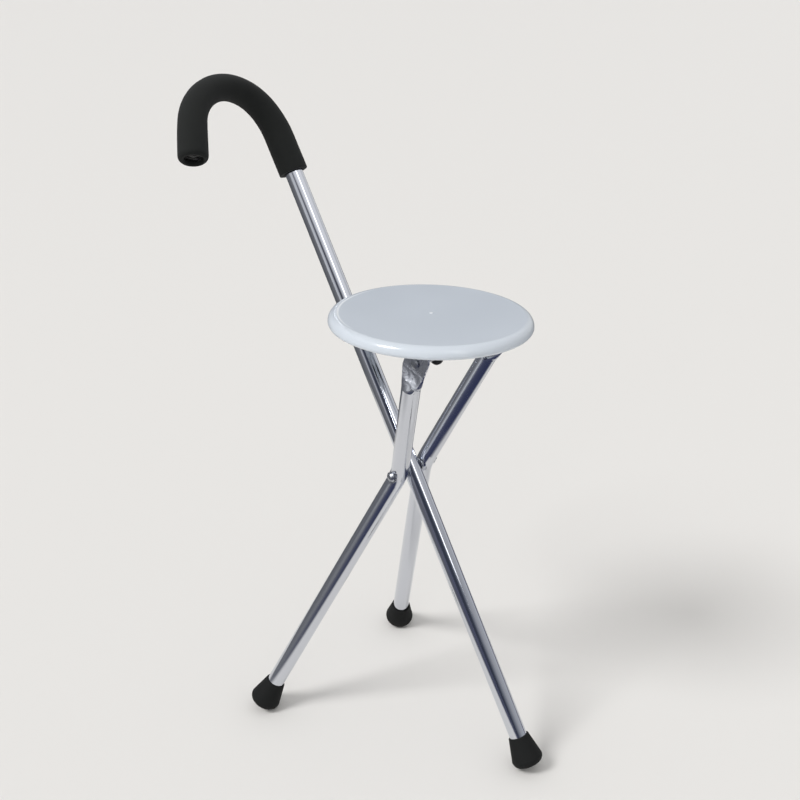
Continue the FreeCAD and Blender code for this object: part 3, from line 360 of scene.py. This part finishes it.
def tube_finish(name, sizes, colours, lean, splay, press_start):
    """Drawn aluminium, clear anodised: bright, with faint lines along the tube and dull smears.

    The press that flattens a leg's top, from press_start on, leaves the metal there rippled,
    duller and leaning back.
    """
    finish, tree, shader = new_finish(name, colours.aluminium, metallic=1.0, roughness=0.2)
    place = add_node(tree, "ShaderNodeTexCoord").outputs["Object"]
    on_tube = add_node(
        tree,
        "ShaderNodeMapping",
        {"Vector": place, "Location": tuple(HUB), "Rotation": (0, lean, 0)},
        vector_type="TEXTURE",
    ).outputs["Vector"]
    parts = add_node(tree, "ShaderNodeSeparateXYZ", {"Vector": on_tube}).outputs

    # Above and below the hub the short legs turn outwards, so the lines turn with them.
    height = add_node(
        tree, "ShaderNodeMath", {0: parts["Z"]}, operation="ABSOLUTE"
    ).outputs[0]
    away = add_node(
        tree, "ShaderNodeMath", {0: height, 1: math.tan(splay)}, operation="MULTIPLY"
    ).outputs[0]
    side = add_node(tree, "ShaderNodeMath", {0: parts["Y"]}, operation="ABSOLUTE").outputs[0]
    across = add_node(
        tree, "ShaderNodeMath", {0: side, 1: away}, operation="SUBTRACT"
    ).outputs[0]

    # The noise is drawn out into lines along the tube. The real lines are finer than a tenth
    # of this spacing and wouldn't show.
    slow = add_node(
        tree, "ShaderNodeMath", {0: parts["Z"], 1: LINE_SLOWNESS}, operation="MULTIPLY"
    ).outputs[0]
    lines_at = add_node(
        tree, "ShaderNodeCombineXYZ", {"X": parts["X"], "Y": across, "Z": slow}
    ).outputs["Vector"]
    lines = add_node(
        tree,
        "ShaderNodeTexNoise",
        {"Vector": lines_at, "Scale": 1 / sizes.draw_line, "Detail": 3.0, "Roughness": 0.6},
    ).outputs["Fac"]
    line_bump = add_node(
        tree, "ShaderNodeBump", {"Height": lines, "Strength": 0.02, "Distance": 0.0002}
    ).outputs["Normal"]

    smears = add_node(
        tree,
        "ShaderNodeTexNoise",
        {"Vector": place, "Scale": 1 / sizes.smear, "Detail": 5.0, "Roughness": 0.55},
    ).outputs["Fac"]
    smeared = add_node(
        tree,
        "ShaderNodeMapRange",
        {"Value": smears, "From Min": 0.35, "From Max": 0.7, "To Min": 0.05, "To Max": 0.11},
    ).outputs["Result"]
    streaky = add_node(
        tree, "ShaderNodeMath", {0: lines, 1: LINE_ROUGHNESS, 2: smeared}, operation="MULTIPLY_ADD"
    ).outputs[0]

    ripple = add_node(
        tree,
        "ShaderNodeTexNoise",
        {"Vector": place, "Scale": 1 / sizes.ripple, "Detail": 1.0, "Distortion": 1.2},
    ).outputs["Fac"]
    pressed = add_node(
        tree,
        "ShaderNodeMapRange",
        {
            "Value": parts["Z"],
            "From Min": press_start,
            "From Max": press_start + sizes.press_blend,
            "To Min": 0.0,
            "To Max": RIPPLE_SHARE,
        },
    ).outputs["Result"]
    dulled = add_node(
        tree,
        "ShaderNodeMath",
        {0: pressed, 1: RIPPLE_ROUGHNESS, 2: streaky},
        operation="MULTIPLY_ADD",
    ).outputs[0]
    tree.links.new(dulled, shader.inputs["Roughness"])
    lean_back = add_node(
        tree,
        "ShaderNodeMapRange",
        {
            "Value": parts["Z"],
            "From Min": press_start,
            "From Max": press_start + sizes.press_fall,
            "To Min": 0.0,
            "To Max": PRESS_LEAN,
        },
        interpolation_type="SMOOTHSTEP",
    ).outputs["Result"]
    dents = add_node(
        tree, "ShaderNodeMath", {0: ripple, 1: pressed, 2: lean_back}, operation="MULTIPLY_ADD"
    ).outputs[0]
    dented = add_node(
        tree,
        "ShaderNodeBump",
        {"Height": dents, "Strength": 1.0, "Distance": sizes.ripple_depth, "Normal": line_bump},
    ).outputs["Normal"]
    tree.links.new(dented, shader.inputs["Normal"])
    return finish


def foam_finish(sizes, colours):
    """Closed-cell foam with a moulded skin: matt black, finely pitted, greyer in patches.

    The real pits are about half the size of these and wouldn't show.
    """
    finish, tree, shader = new_finish(
        "closed_cell_foam", colours.foam, metallic=0.0, roughness=0.82
    )
    shader.inputs["Specular IOR Level"].default_value = 0.2
    shader.inputs["Sheen Weight"].default_value = 0.04
    shader.inputs["Sheen Roughness"].default_value = 0.6
    place = add_node(tree, "ShaderNodeTexCoord").outputs["Object"]
    pores = add_node(
        tree, "ShaderNodeTexVoronoi", {"Vector": place, "Scale": 1 / sizes.foam_pore}
    ).outputs["Distance"]
    grain = add_node(
        tree,
        "ShaderNodeTexNoise",
        {"Vector": place, "Scale": 1 / sizes.foam_grain, "Detail": 6.0, "Roughness": 0.7},
    ).outputs["Fac"]
    both = add_node(
        tree, "ShaderNodeMath", {0: pores, 1: PORE_SHARE, 2: grain}, operation="MULTIPLY_ADD"
    ).outputs[0]
    bump = add_node(
        tree, "ShaderNodeBump", {"Height": both, "Strength": 0.35, "Distance": 0.0004}
    ).outputs["Normal"]
    tree.links.new(bump, shader.inputs["Normal"])
    wear = add_node(
        tree,
        "ShaderNodeTexNoise",
        {"Vector": place, "Scale": 1 / sizes.foam_wear, "Detail": 3.0},
    ).outputs["Fac"]
    patchy = add_node(
        tree,
        "ShaderNodeMixRGB",
        {"Fac": wear, "Color1": shaded(colours.foam, 0.8), "Color2": shaded(colours.foam, 1.25)},
    ).outputs["Color"]
    tree.links.new(patchy, shader.inputs["Base Color"])
    return finish


def seat_finish(sizes, colours):
    """Moulded ABS: semi-gloss and faintly wavy, with dull patches where clothes have rubbed it.

    The gate mark in the middle of the top is painted white as a highlight, and a painted highlight also runs as a
    white line along the crease round the flat top, on the side that faces the key lamp.
    """
    finish, tree, shader = new_finish("moulded_abs", colours.seat, metallic=0.0, roughness=0.3)
    shader.inputs["IOR"].default_value = 1.53
    place = add_node(tree, "ShaderNodeTexCoord").outputs["Object"]
    waves = add_node(
        tree,
        "ShaderNodeTexNoise",
        {"Vector": place, "Scale": 1 / sizes.seat_grain, "Detail": 2.0},
    ).outputs["Fac"]
    bump = add_node(
        tree, "ShaderNodeBump", {"Height": waves, "Strength": 0.02, "Distance": 0.0001}
    ).outputs["Normal"]
    tree.links.new(bump, shader.inputs["Normal"])
    rubs = add_node(
        tree, "ShaderNodeTexNoise", {"Vector": place, "Scale": 1 / sizes.seat_rub, "Detail": 0.0}
    ).outputs["Fac"]
    rough = add_node(
        tree,
        "ShaderNodeMapRange",
        {"Value": rubs, "From Min": 0.35, "From Max": 0.7, "To Min": 0.17, "To Max": 0.21},
    ).outputs["Result"]
    tree.links.new(rough, shader.inputs["Roughness"])
    body = add_node(
        tree,
        "ShaderNodeMixRGB",
        {
            "Fac": rubs,
            "Color1": shaded(colours.seat, 0.985),
            "Color2": shaded(colours.seat, 1.015),
        },
    ).outputs["Color"]

    low, high = (Vector(corner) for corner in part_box("seat_shell"))
    gate = Vector(((low.x + high.x) / 2, (low.y + high.y) / 2, high.z))
    from_gate = add_node(
        tree, "ShaderNodeVectorMath", {0: place, 1: gate}, operation="SUBTRACT"
    ).outputs["Vector"]
    reach = add_node(
        tree, "ShaderNodeVectorMath", {0: from_gate}, operation="LENGTH"
    ).outputs["Value"]
    # Painted highlight: a white spot on the gate mark in the middle of the top.
    spot = add_node(
        tree,
        "ShaderNodeMapRange",
        {
            "Value": reach,
            "From Min": sizes.gate_highlight,
            "From Max": sizes.gate_highlight_edge,
            "To Min": 1.0,
            "To Max": 0.0,
        },
    ).outputs["Result"]
    past_crease = add_node(
        tree, "ShaderNodeMath", {0: reach, 1: sizes.seat_flat}, operation="SUBTRACT"
    ).outputs[0]
    off_crease = add_node(
        tree, "ShaderNodeMath", {0: past_crease}, operation="ABSOLUTE"
    ).outputs[0]
    line = add_node(
        tree,
        "ShaderNodeMapRange",
        {
            "Value": off_crease,
            "From Min": sizes.crease,
            "From Max": sizes.crease_edge,
            "To Min": 1.0,
            "To Max": 0.0,
        },
    ).outputs["Result"]
    # Painted highlight along the crease: its white line fades in towards the side of the rim that faces the key
    # lamp.
    towards_highlight_side = add_node(
        tree, "ShaderNodeVectorMath", {0: from_gate, 1: HIGHLIGHT_SIDE}, operation="DOT_PRODUCT"
    ).outputs["Value"]
    on_highlight_side = add_node(
        tree,
        "ShaderNodeMapRange",
        {
            "Value": towards_highlight_side,
            "From Min": sizes.highlight_from,
            "From Max": sizes.highlight_full,
            "To Min": 0.0,
            "To Max": CREASE_HIGHLIGHT_SHARE,
        },
    ).outputs["Result"]
    # This holds the painted highlight along the crease.
    rubbed = add_node(
        tree, "ShaderNodeMath", {0: line, 1: on_highlight_side}, operation="MULTIPLY"
    ).outputs[0]
    white = add_node(
        tree, "ShaderNodeMath", {0: spot, 1: rubbed}, operation="MAXIMUM"
    ).outputs[0]
    with_highlights = add_node(
        tree,
        "ShaderNodeMixRGB",
        {"Fac": white, "Color1": body, "Color2": shaded(colours.seat_highlight)},
    ).outputs["Color"]
    tree.links.new(with_highlights, shader.inputs["Base Color"])
    return finish


def rubber_finish(sizes, colours):
    """Moulded rubber: matt black, finely pitted, greyed with dust where it meets the floor.

    The real pits are a few tenths of a millimetre and wouldn't show.
    """
    finish, tree, shader = new_finish(
        "moulded_rubber", colours.rubber, metallic=0.0, roughness=0.75
    )
    shader.inputs["Specular IOR Level"].default_value = 0.18
    place = add_node(tree, "ShaderNodeTexCoord").outputs["Object"]
    grit = add_node(
        tree,
        "ShaderNodeTexNoise",
        {"Vector": place, "Scale": 1 / sizes.rubber_grit, "Detail": 4.0, "Roughness": 0.65},
    ).outputs["Fac"]
    bump = add_node(
        tree, "ShaderNodeBump", {"Height": grit, "Strength": 0.3, "Distance": 0.0003}
    ).outputs["Normal"]
    tree.links.new(bump, shader.inputs["Normal"])
    height = add_node(tree, "ShaderNodeSeparateXYZ", {"Vector": place}).outputs["Z"]
    low_down = add_node(
        tree,
        "ShaderNodeMapRange",
        {
            "Value": height,
            "From Min": 0.0,
            "From Max": sizes.dust_height,
            "To Min": 1.0,
            "To Max": 0.0,
        },
    ).outputs["Result"]
    dust = add_node(
        tree, "ShaderNodeMath", {0: low_down, 1: grit}, operation="MULTIPLY"
    ).outputs[0]
    dusty = add_node(
        tree,
        "ShaderNodeMixRGB",
        {"Fac": dust, "Color1": shaded(colours.rubber), "Color2": shaded(colours.dust)},
    ).outputs["Color"]
    tree.links.new(dusty, shader.inputs["Base Color"])
    return finish


def plated_finish(sizes, colours):
    """Bright zinc plate on steel: bluish white metal, a little cloudy."""
    finish, tree, shader = new_finish(
        "bright_zinc_plate", colours.zinc, metallic=1.0, roughness=0.3
    )
    place = add_node(tree, "ShaderNodeTexCoord").outputs["Object"]
    cloud = add_node(
        tree,
        "ShaderNodeTexNoise",
        {"Vector": place, "Scale": 1 / sizes.zinc_cloud, "Detail": 4.0},
    ).outputs["Fac"]
    rough = add_node(
        tree,
        "ShaderNodeMapRange",
        {"Value": cloud, "From Min": 0.3, "From Max": 0.7, "To Min": 0.2, "To Max": 0.38},
    ).outputs["Result"]
    tree.links.new(rough, shader.inputs["Roughness"])
    cloudy = add_node(
        tree,
        "ShaderNodeMixRGB",
        {"Fac": cloud, "Color1": shaded(colours.zinc, 0.85), "Color2": shaded(colours.zinc, 1.1)},
    ).outputs["Color"]
    tree.links.new(cloudy, shader.inputs["Base Color"])
    return finish


def enamel_finish(sizes, colours):
    """Black stoved enamel on pressed steel: satin, with a slight orange peel."""
    finish, tree, shader = new_finish(
        "black_stoved_enamel", colours.bracket, metallic=0.0, roughness=0.38
    )
    place = add_node(tree, "ShaderNodeTexCoord").outputs["Object"]
    peel = add_node(
        tree,
        "ShaderNodeTexNoise",
        {"Vector": place, "Scale": 1 / sizes.enamel_peel, "Detail": 2.0},
    ).outputs["Fac"]
    bump = add_node(
        tree, "ShaderNodeBump", {"Height": peel, "Strength": 0.12, "Distance": 0.0002}
    ).outputs["Normal"]
    tree.links.new(bump, shader.inputs["Normal"])
    return finish


def nylon_finish(sizes, colours):
    """Moulded nylon: black, waxy and even.

    The real skin is finer than this and wouldn't show.
    """
    finish, tree, shader = new_finish("moulded_nylon", colours.nylon, metallic=0.0, roughness=0.45)
    place = add_node(tree, "ShaderNodeTexCoord").outputs["Object"]
    skin = add_node(
        tree,
        "ShaderNodeTexNoise",
        {"Vector": place, "Scale": 1 / sizes.nylon_skin, "Detail": 3.0},
    ).outputs["Fac"]
    bump = add_node(
        tree, "ShaderNodeBump", {"Height": skin, "Strength": 0.15, "Distance": 0.0002}
    ).outputs["Normal"]
    tree.links.new(bump, shader.inputs["Normal"])
    return finish


def plug_finish(sizes, colours):
    """Black polythene in the tube's end: crumpled, with small sharp glints."""
    finish, tree, shader = new_finish(
        "crumpled_polythene", colours.plug, metallic=0.0, roughness=0.3
    )
    place = add_node(tree, "ShaderNodeTexCoord").outputs["Object"]
    folds = add_node(
        tree, "ShaderNodeTexVoronoi", {"Vector": place, "Scale": 1 / sizes.plug_fold}
    ).outputs["Distance"]
    bump = add_node(
        tree, "ShaderNodeBump", {"Height": folds, "Strength": 0.9, "Distance": 0.004}
    ).outputs["Normal"]
    tree.links.new(bump, shader.inputs["Normal"])
    return finish


# Pieces

class TubesOperator(bpy.types.Operator):
    """Finish the shaft and the two short legs as drawn aluminium tube"""

    bl_idname = "stickseat.tubes"
    bl_label = "Finish Tubes"

    def execute(self, context):
        sizes = context.scene.stick_seat_sizes
        colours = context.scene.stick_seat_colours
        # The shaft isn't pressed: its ripples begin at the bend, where the foam hides them.
        shaft = tube_finish(
            "drawn_aluminium_shaft", sizes, colours,
            lean=-sizes.shaft_lean, splay=0.0, press_start=sizes.crook_start,
        )
        legs = tube_finish(
            "drawn_aluminium_legs", sizes, colours,
            lean=sizes.leg_lean, splay=sizes.leg_splay, press_start=sizes.press_start,
        )
        dress(["cane_tube"], shaft)
        dress(["left_leg_tube", "right_leg_tube"], legs)
        return {"FINISHED"}


class GripOperator(bpy.types.Operator):
    """Model the foam grip as one sleeve swept along the crook"""

    bl_idname = "stickseat.grip"
    bl_label = "Model Foam Grip"

    def execute(self, context):
        sizes = context.scene.stick_seat_sizes
        colours = context.scene.stick_seat_colours
        bore = sizes.tube_radius + sizes.grip_play
        bend = sizes.crook_radius * sizes.crook_turn
        whole = sizes.grip_below + bend + sizes.grip_tail
        start = along_crook(sizes, sizes.grip_inside)[0]
        clear_selection()
        bpy.ops.mesh.primitive_circle_add(vertices=RING_POINTS, radius=bore, location=start)
        grip = bpy.context.object
        grip.name = "grip_sleeve"
        bpy.ops.object.transform_apply(location=True, rotation=True, scale=True)
        bpy.ops.object.mode_set(mode="EDIT")
        bpy.ops.mesh.select_all(action="SELECT")
        place, ring, turned = start, bore, 0.0

        def step(along, to_ring, out=0.0):
            """Extrude the selected ring to a new distance along the crook, radius and offset."""
            nonlocal place, ring, turned
            middle, outward, turn = along_crook(sizes, along)
            to_place = middle + outward * out
            bpy.ops.mesh.extrude_region_move(TRANSFORM_OT_translate={"value": to_place - place})
            if turn != turned:
                bpy.ops.transform.rotate(
                    value=turned - turn, orient_axis="X", center_override=tuple(to_place)
                )
            bpy.ops.transform.resize(
                value=(to_ring / ring,) * 3, center_override=tuple(to_place)
            )
            place, ring, turned = to_place, to_ring, turn

        # The square-cut lower end, hardly rounded: down the bore, across the cut and up the
        # outside, as distance from the end and radius in metres.
        first = foam_at(0)[0]
        lower_end = (
            (0.0012, bore),
            (0.0003, bore + 0.0004),
            (0.0, bore + 0.0012),
            (0.0, first - 0.0008),
            (0.0001, first - 0.0002),
            (0.0008, first),
        )
        for along, radius in lower_end:
            step(along, radius)

        rings = [sizes.grip_below * share for share in (0.2, 0.4, 0.6, 0.8)]
        rings += [sizes.grip_below + bend * count / BEND_RINGS for count in range(BEND_RINGS + 1)]
        rings += [whole - sizes.grip_tail * (1 - share) for share in (0.2, 0.45, 0.7)]
        for along in rings:
            step(along, *foam_at(along))

        # The free end, rounded over, with the tube's end set back inside: distance from the
        # end, radius and offset in metres.
        last, out = foam_at(whole)
        free_end = (
            (0.0070, last + 0.0001, out),
            (0.0040, last - 0.0001, out),
            (0.0018, last - 0.0011, out),
            (0.0005, last - 0.0027, out),
            (0.0, last - 0.0044, out * 0.5),
            (0.0005, bore + 0.0004, 0.0),
            (0.0018, bore, 0.0),
            (sizes.grip_recess + 0.004, bore, 0.0),
        )
        for back, radius, shift in free_end:
            step(whole - back, radius, shift)

        bpy.ops.mesh.select_all(action="SELECT")
        bpy.ops.mesh.remove_doubles(threshold=0.00001)
        bpy.ops.mesh.normals_make_consistent(inside=False)
        bpy.ops.object.mode_set(mode="OBJECT")
        grip.matrix_world = shaft_matrix(sizes)
        bpy.ops.object.transform_apply(location=True, rotation=True, scale=True)
        smooth = grip.modifiers.new("smooth", "SUBSURF")
        smooth.levels = 2
        smooth.render_levels = 2
        bpy.ops.object.modifier_apply(modifier=smooth.name)
        bpy.ops.object.shade_smooth()
        foam = foam_finish(sizes, colours)
        grip.data.materials.append(foam)
        dress(["foam_grip"], foam)
        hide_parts("foam_grip")
        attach(grip, "cane")
        return {"FINISHED"}


class SeatOperator(bpy.types.Operator):
    """Finish the moulded seat"""

    bl_idname = "stickseat.seat"
    bl_label = "Finish Seat"

    def execute(self, context):
        sizes = context.scene.stick_seat_sizes
        colours = context.scene.stick_seat_colours
        dress(["seat_shell"], seat_finish(sizes, colours))
        return {"FINISHED"}


class FeetOperator(bpy.types.Operator):
    """Finish the rubber feet and the plug in the crook's end"""

    bl_idname = "stickseat.feet"
    bl_label = "Finish Feet and Plug"

    def execute(self, context):
        sizes = context.scene.stick_seat_sizes
        colours = context.scene.stick_seat_colours
        dress(["cane_ferrule", "left_ferrule", "right_ferrule"], rubber_finish(sizes, colours))
        dress(["grip_end_plug"], plug_finish(sizes, colours))
        return {"FINISHED"}


class HardwareOperator(bpy.types.Operator):
    """Finish the plated, enamelled and nylon pieces"""

    bl_idname = "stickseat.hardware"
    bl_label = "Finish Hardware"

    def execute(self, context):
        sizes = context.scene.stick_seat_sizes
        colours = context.scene.stick_seat_colours
        dress(nodes_in("zinc_steel"), plated_finish(sizes, colours))
        dress(nodes_in("bracket_steel"), enamel_finish(sizes, colours))
        dress(nodes_in("nylon"), nylon_finish(sizes, colours))
        return {"FINISHED"}


# Stage

def add_area(name, place, target, size, power):
    """A soft rectangular lamp that points at a target; its size is width and height."""
    lamp = bpy.data.lights.new(name, "AREA")
    lamp.shape = "RECTANGLE"
    lamp.size, lamp.size_y = size
    lamp.energy = power
    holder = bpy.data.objects.new(name, lamp)
    bpy.context.scene.collection.objects.link(holder)
    holder.location = place
    aim = (Vector(target) - Vector(place)).to_track_quat("-Z", "Y")
    holder.rotation_mode = "QUATERNION"
    holder.rotation_quaternion = aim
    return holder


def add_far_lamp(name, turn, rise, width, power):
    """A large far lamp at a compass angle and a height in degrees, this many degrees across."""
    lamp = bpy.data.lights.new(name, "SUN")
    lamp.energy = power
    lamp.angle = math.radians(width)
    holder = bpy.data.objects.new(name, lamp)
    bpy.context.scene.collection.objects.link(holder)
    turn, rise = math.radians(turn), math.radians(rise)
    way = Vector(
        (math.cos(turn) * math.cos(rise), math.sin(turn) * math.cos(rise), math.sin(rise))
    )
    holder.rotation_mode = "QUATERNION"
    holder.rotation_quaternion = (-way).to_track_quat("-Z", "Y")
    return holder


def light_studio(colours):
    """A plain pale studio; the tubes mirror the cards and the ceiling round it."""
    world = bpy.data.worlds.new("studio")
    bpy.context.scene.world = world
    world.use_nodes = True
    tree = world.node_tree
    tree.nodes.clear()
    way = add_node(tree, "ShaderNodeTexCoord").outputs["Generated"]
    compass = add_node(
        tree, "ShaderNodeTexGradient", {"Vector": way}, gradient_type="RADIAL"
    ).outputs["Fac"]
    cards = add_node(tree, "ShaderNodeValToRGB", {"Fac": compass})
    stops = cards.color_ramp.elements
    stops[0].color = shaded(hex_to_linear(STUDIO_CARDS[0][1]))
    stops[1].color = shaded(hex_to_linear(STUDIO_CARDS[-1][1]))
    # The gradient runs from 0 to 1 as the compass angle goes from -180 to 180 degrees.
    for turn, code in STUDIO_CARDS[1:-1]:
        stops.new(turn / 360 + 0.5).color = shaded(hex_to_linear(code))
    rise = add_node(tree, "ShaderNodeSeparateXYZ", {"Vector": way}).outputs["Z"]
    above = add_node(
        tree,
        "ShaderNodeMapRange",
        {
            "Value": rise,
            "From Min": math.sin(math.radians(CEILING_FROM)),
            "From Max": math.sin(math.radians(CEILING_FULL)),
            "To Min": 0.0,
            "To Max": 1.0,
        },
        interpolation_type="SMOOTHSTEP",
    ).outputs["Result"]
    room = add_node(
        tree,
        "ShaderNodeMixRGB",
        {"Fac": above, "Color1": cards.outputs["Color"], "Color2": shaded(colours.ceiling)},
    ).outputs["Color"]
    fill = add_node(
        tree, "ShaderNodeBackground", {"Color": (1, 1, 1, 1), "Strength": STUDIO_LIGHT}
    ).outputs[0]
    mirrored = add_node(
        tree, "ShaderNodeBackground", {"Color": room, "Strength": 1.0}
    ).outputs[0]
    seen = add_node(
        tree, "ShaderNodeBackground", {"Color": shaded(colours.studio), "Strength": 1.0}
    ).outputs[0]
    rays = add_node(tree, "ShaderNodeLightPath").outputs
    around = add_node(
        tree, "ShaderNodeMixShader", {"Fac": rays["Is Glossy Ray"], 1: fill, 2: mirrored}
    ).outputs[0]
    studio = add_node(
        tree, "ShaderNodeMixShader", {"Fac": rays["Is Camera Ray"], 1: around, 2: seen}
    ).outputs[0]
    add_node(tree, "ShaderNodeOutputWorld", {"Surface": studio})


def floor_paint(sizes, colours):
    """Matt pale floor paint; the tubes mirror it as a pale sheet, with painted shade past it."""
    paint, tree, shader = new_finish(
        "pale_floor_paint", colours.floor, metallic=0.0, roughness=0.7
    )
    shader.inputs["Specular IOR Level"].default_value = 0.2
    place = add_node(tree, "ShaderNodeTexCoord").outputs["Object"]

    # How far out on the sheet a point lies: 1 is its edge, a little rounded at the corners.
    middle = Vector((HUB.x + SHEET_SHIFT[0], HUB.y + SHEET_SHIFT[1], 0))
    from_middle = add_node(
        tree, "ShaderNodeVectorMath", {0: place, 1: middle}, operation="SUBTRACT"
    ).outputs[0]
    half_sheet = (sizes.sheet_length / 2, sizes.sheet_width / 2, 1)
    share = add_node(
        tree, "ShaderNodeVectorMath", {0: from_middle, 1: half_sheet}, operation="DIVIDE"
    ).outputs[0]
    apart = add_node(
        tree, "ShaderNodeVectorMath", {0: share}, operation="ABSOLUTE"
    ).outputs[0]
    sides = add_node(tree, "ShaderNodeSeparateXYZ", {"Vector": apart}).outputs
    outness = add_node(
        tree,
        "ShaderNodeMath",
        {0: sides["X"], 1: sides["Y"], 2: SHEET_ROUNDNESS},
        operation="SMOOTH_MAX",
    ).outputs[0]
    past = add_node(
        tree,
        "ShaderNodeMapRange",
        {
            "Value": outness,
            "From Min": SHEET_FADE[0],
            "From Max": SHEET_FADE[1],
            "To Min": 0.0,
            "To Max": 1.0,
        },
        interpolation_type="SMOOTHSTEP",
    ).outputs["Result"]

    # Past the sheet the mirrored floor is painted shade, dark, with painted half-light on the camera's left, where
    # a little light would fall.
    along = add_node(tree, "ShaderNodeSeparateXYZ", {"Vector": place}).outputs["X"]
    unlit = add_node(
        tree,
        "ShaderNodeMapRange",
        {
            "Value": along,
            "From Min": UNLIT_FADE[0],
            "From Max": UNLIT_FADE[1],
            "To Min": 0.0,
            "To Max": 1.0,
        },
        interpolation_type="SMOOTHSTEP",
    ).outputs["Result"]
    beyond = add_node(
        tree,
        "ShaderNodeMixRGB",
        {
            "Fac": unlit,
            "Color1": shaded(colours.side_floor_half_light),
            "Color2": shaded(colours.far_floor_shade),
        },
    ).outputs["Color"]
    mirrored = add_node(
        tree,
        "ShaderNodeMixRGB",
        {"Fac": past, "Color1": shaded(colours.floor), "Color2": beyond},
    ).outputs["Color"]
    # Only glossy rays see the painted shade and half-light; the camera and the diffuse light see the plain floor
    # colour.
    rays = add_node(tree, "ShaderNodeLightPath").outputs
    shown = add_node(
        tree,
        "ShaderNodeMixRGB",
        {"Fac": rays["Is Glossy Ray"], "Color1": shaded(colours.floor), "Color2": mirrored},
    ).outputs["Color"]
    tree.links.new(shown, shader.inputs["Base Color"])
    return paint


def lay_floor(sizes, colours):
    """A wide floor just under the feet."""
    clear_selection()
    bpy.ops.mesh.primitive_plane_add(size=FLOOR_WIDTH, location=(0, 0, -FLOOR_DROP))
    floor = bpy.context.object
    floor.name = "studio_floor"
    floor.data.materials.append(floor_paint(sizes, colours))


def hang_lamps():
    """A soft key lamp, a low fill and a strip."""
    add_far_lamp("key_lamp", turn=-110, rise=46, width=20, power=1.7)
    # The fill lifts the rim and the feet, and nothing mirrors it.
    fill = add_far_lamp("low_fill", turn=-60, rise=7, width=40, power=0.6)
    fill.visible_glossy = False
    # The strip sheds no light: it is only mirrored, as the long bright line down the shaft.
    strip = add_area(
        "strip_lamp",
        place=(1.52, -0.4, 1.66),
        target=(0.0, 0.0, 0.5),
        size=(0.42, 1.75),
        power=4.5,
    )
    strip.visible_diffuse = False


def set_camera(scene):
    """The camera at the photograph's place and angle."""
    lens = bpy.data.cameras.new("camera")
    lens.sensor_width = SENSOR_WIDTH
    lens.lens = SENSOR_WIDTH * FOCAL_PIXELS / FRAME_PIXELS
    lens.clip_end = 100
    camera = bpy.data.objects.new("camera", lens)
    scene.collection.objects.link(camera)
    turn, tilt, roll = (
        math.radians(degrees) for degrees in (CAMERA_TURN, CAMERA_TILT, CAMERA_ROLL)
    )
    level = Vector((math.cos(turn), math.sin(turn), 0))
    ahead = Vector((-math.sin(turn), math.cos(turn), 0))
    look = ahead * math.cos(tilt) - Vector((0, 0, 1)) * math.sin(tilt)
    upright = level.cross(look)
    right = level * math.cos(roll) + upright * math.sin(roll)
    up = upright * math.cos(roll) - level * math.sin(roll)
    place = Vector((HUB.x, HUB.y, 0)) + Vector(CAMERA_PLACE)
    facing = Matrix((right, up, -look)).transposed().to_4x4()
    camera.matrix_world = Matrix.Translation(place) @ facing
    scene.camera = camera


class StageOperator(bpy.types.Operator):
    """Lay the floor, hang the lamps and set the camera at the photograph's place"""

    bl_idname = "stickseat.stage"
    bl_label = "Set Stage"

    def execute(self, context):
        scene = context.scene
        scene.view_settings.view_transform = "Standard"
        light_studio(scene.stick_seat_colours)
        lay_floor(scene.stick_seat_sizes, scene.stick_seat_colours)
        hang_lamps()
        set_camera(scene)
        return {"FINISHED"}


OPERATORS = (
    TubesOperator,
    GripOperator,
    SeatOperator,
    FeetOperator,
    HardwareOperator,
    StageOperator,
)


class StickSeatPanel(bpy.types.Panel):
    """The steps that dress the stick seat, in order"""

    bl_idname = "VIEW3D_PT_stick_seat"
    bl_label = "Stick Seat"
    bl_space_type = "VIEW_3D"
    bl_region_type = "UI"
    bl_category = "Stick Seat"

    def draw(self, context):
        column = self.layout.column(align=True)
        for operator in OPERATORS:
            column.operator(operator.bl_idname)
        for group in (context.scene.stick_seat_sizes, context.scene.stick_seat_colours):
            box = self.layout.box()
            for name in group.bl_rna.properties.keys():
                if name not in ("rna_type", "name"):
                    box.prop(group, name)


CLASSES = (StickSeatSizes, StickSeatColours) + OPERATORS + (StickSeatPanel,)


def register():
    for cls in CLASSES:
        bpy.utils.register_class(cls)
    bpy.types.Scene.stick_seat_sizes = bpy.props.PointerProperty(type=StickSeatSizes)
    bpy.types.Scene.stick_seat_colours = bpy.props.PointerProperty(type=StickSeatColours)


def unregister():
    del bpy.types.Scene.stick_seat_colours
    del bpy.types.Scene.stick_seat_sizes
    for cls in reversed(CLASSES):
        bpy.utils.unregister_class(cls)


def main():
    register()
    bpy.ops.stickseat.tubes()
    bpy.ops.stickseat.grip()
    bpy.ops.stickseat.seat()
    bpy.ops.stickseat.feet()
    bpy.ops.stickseat.hardware()
    bpy.ops.stickseat.stage()


if __name__ == "__main__":
    main()
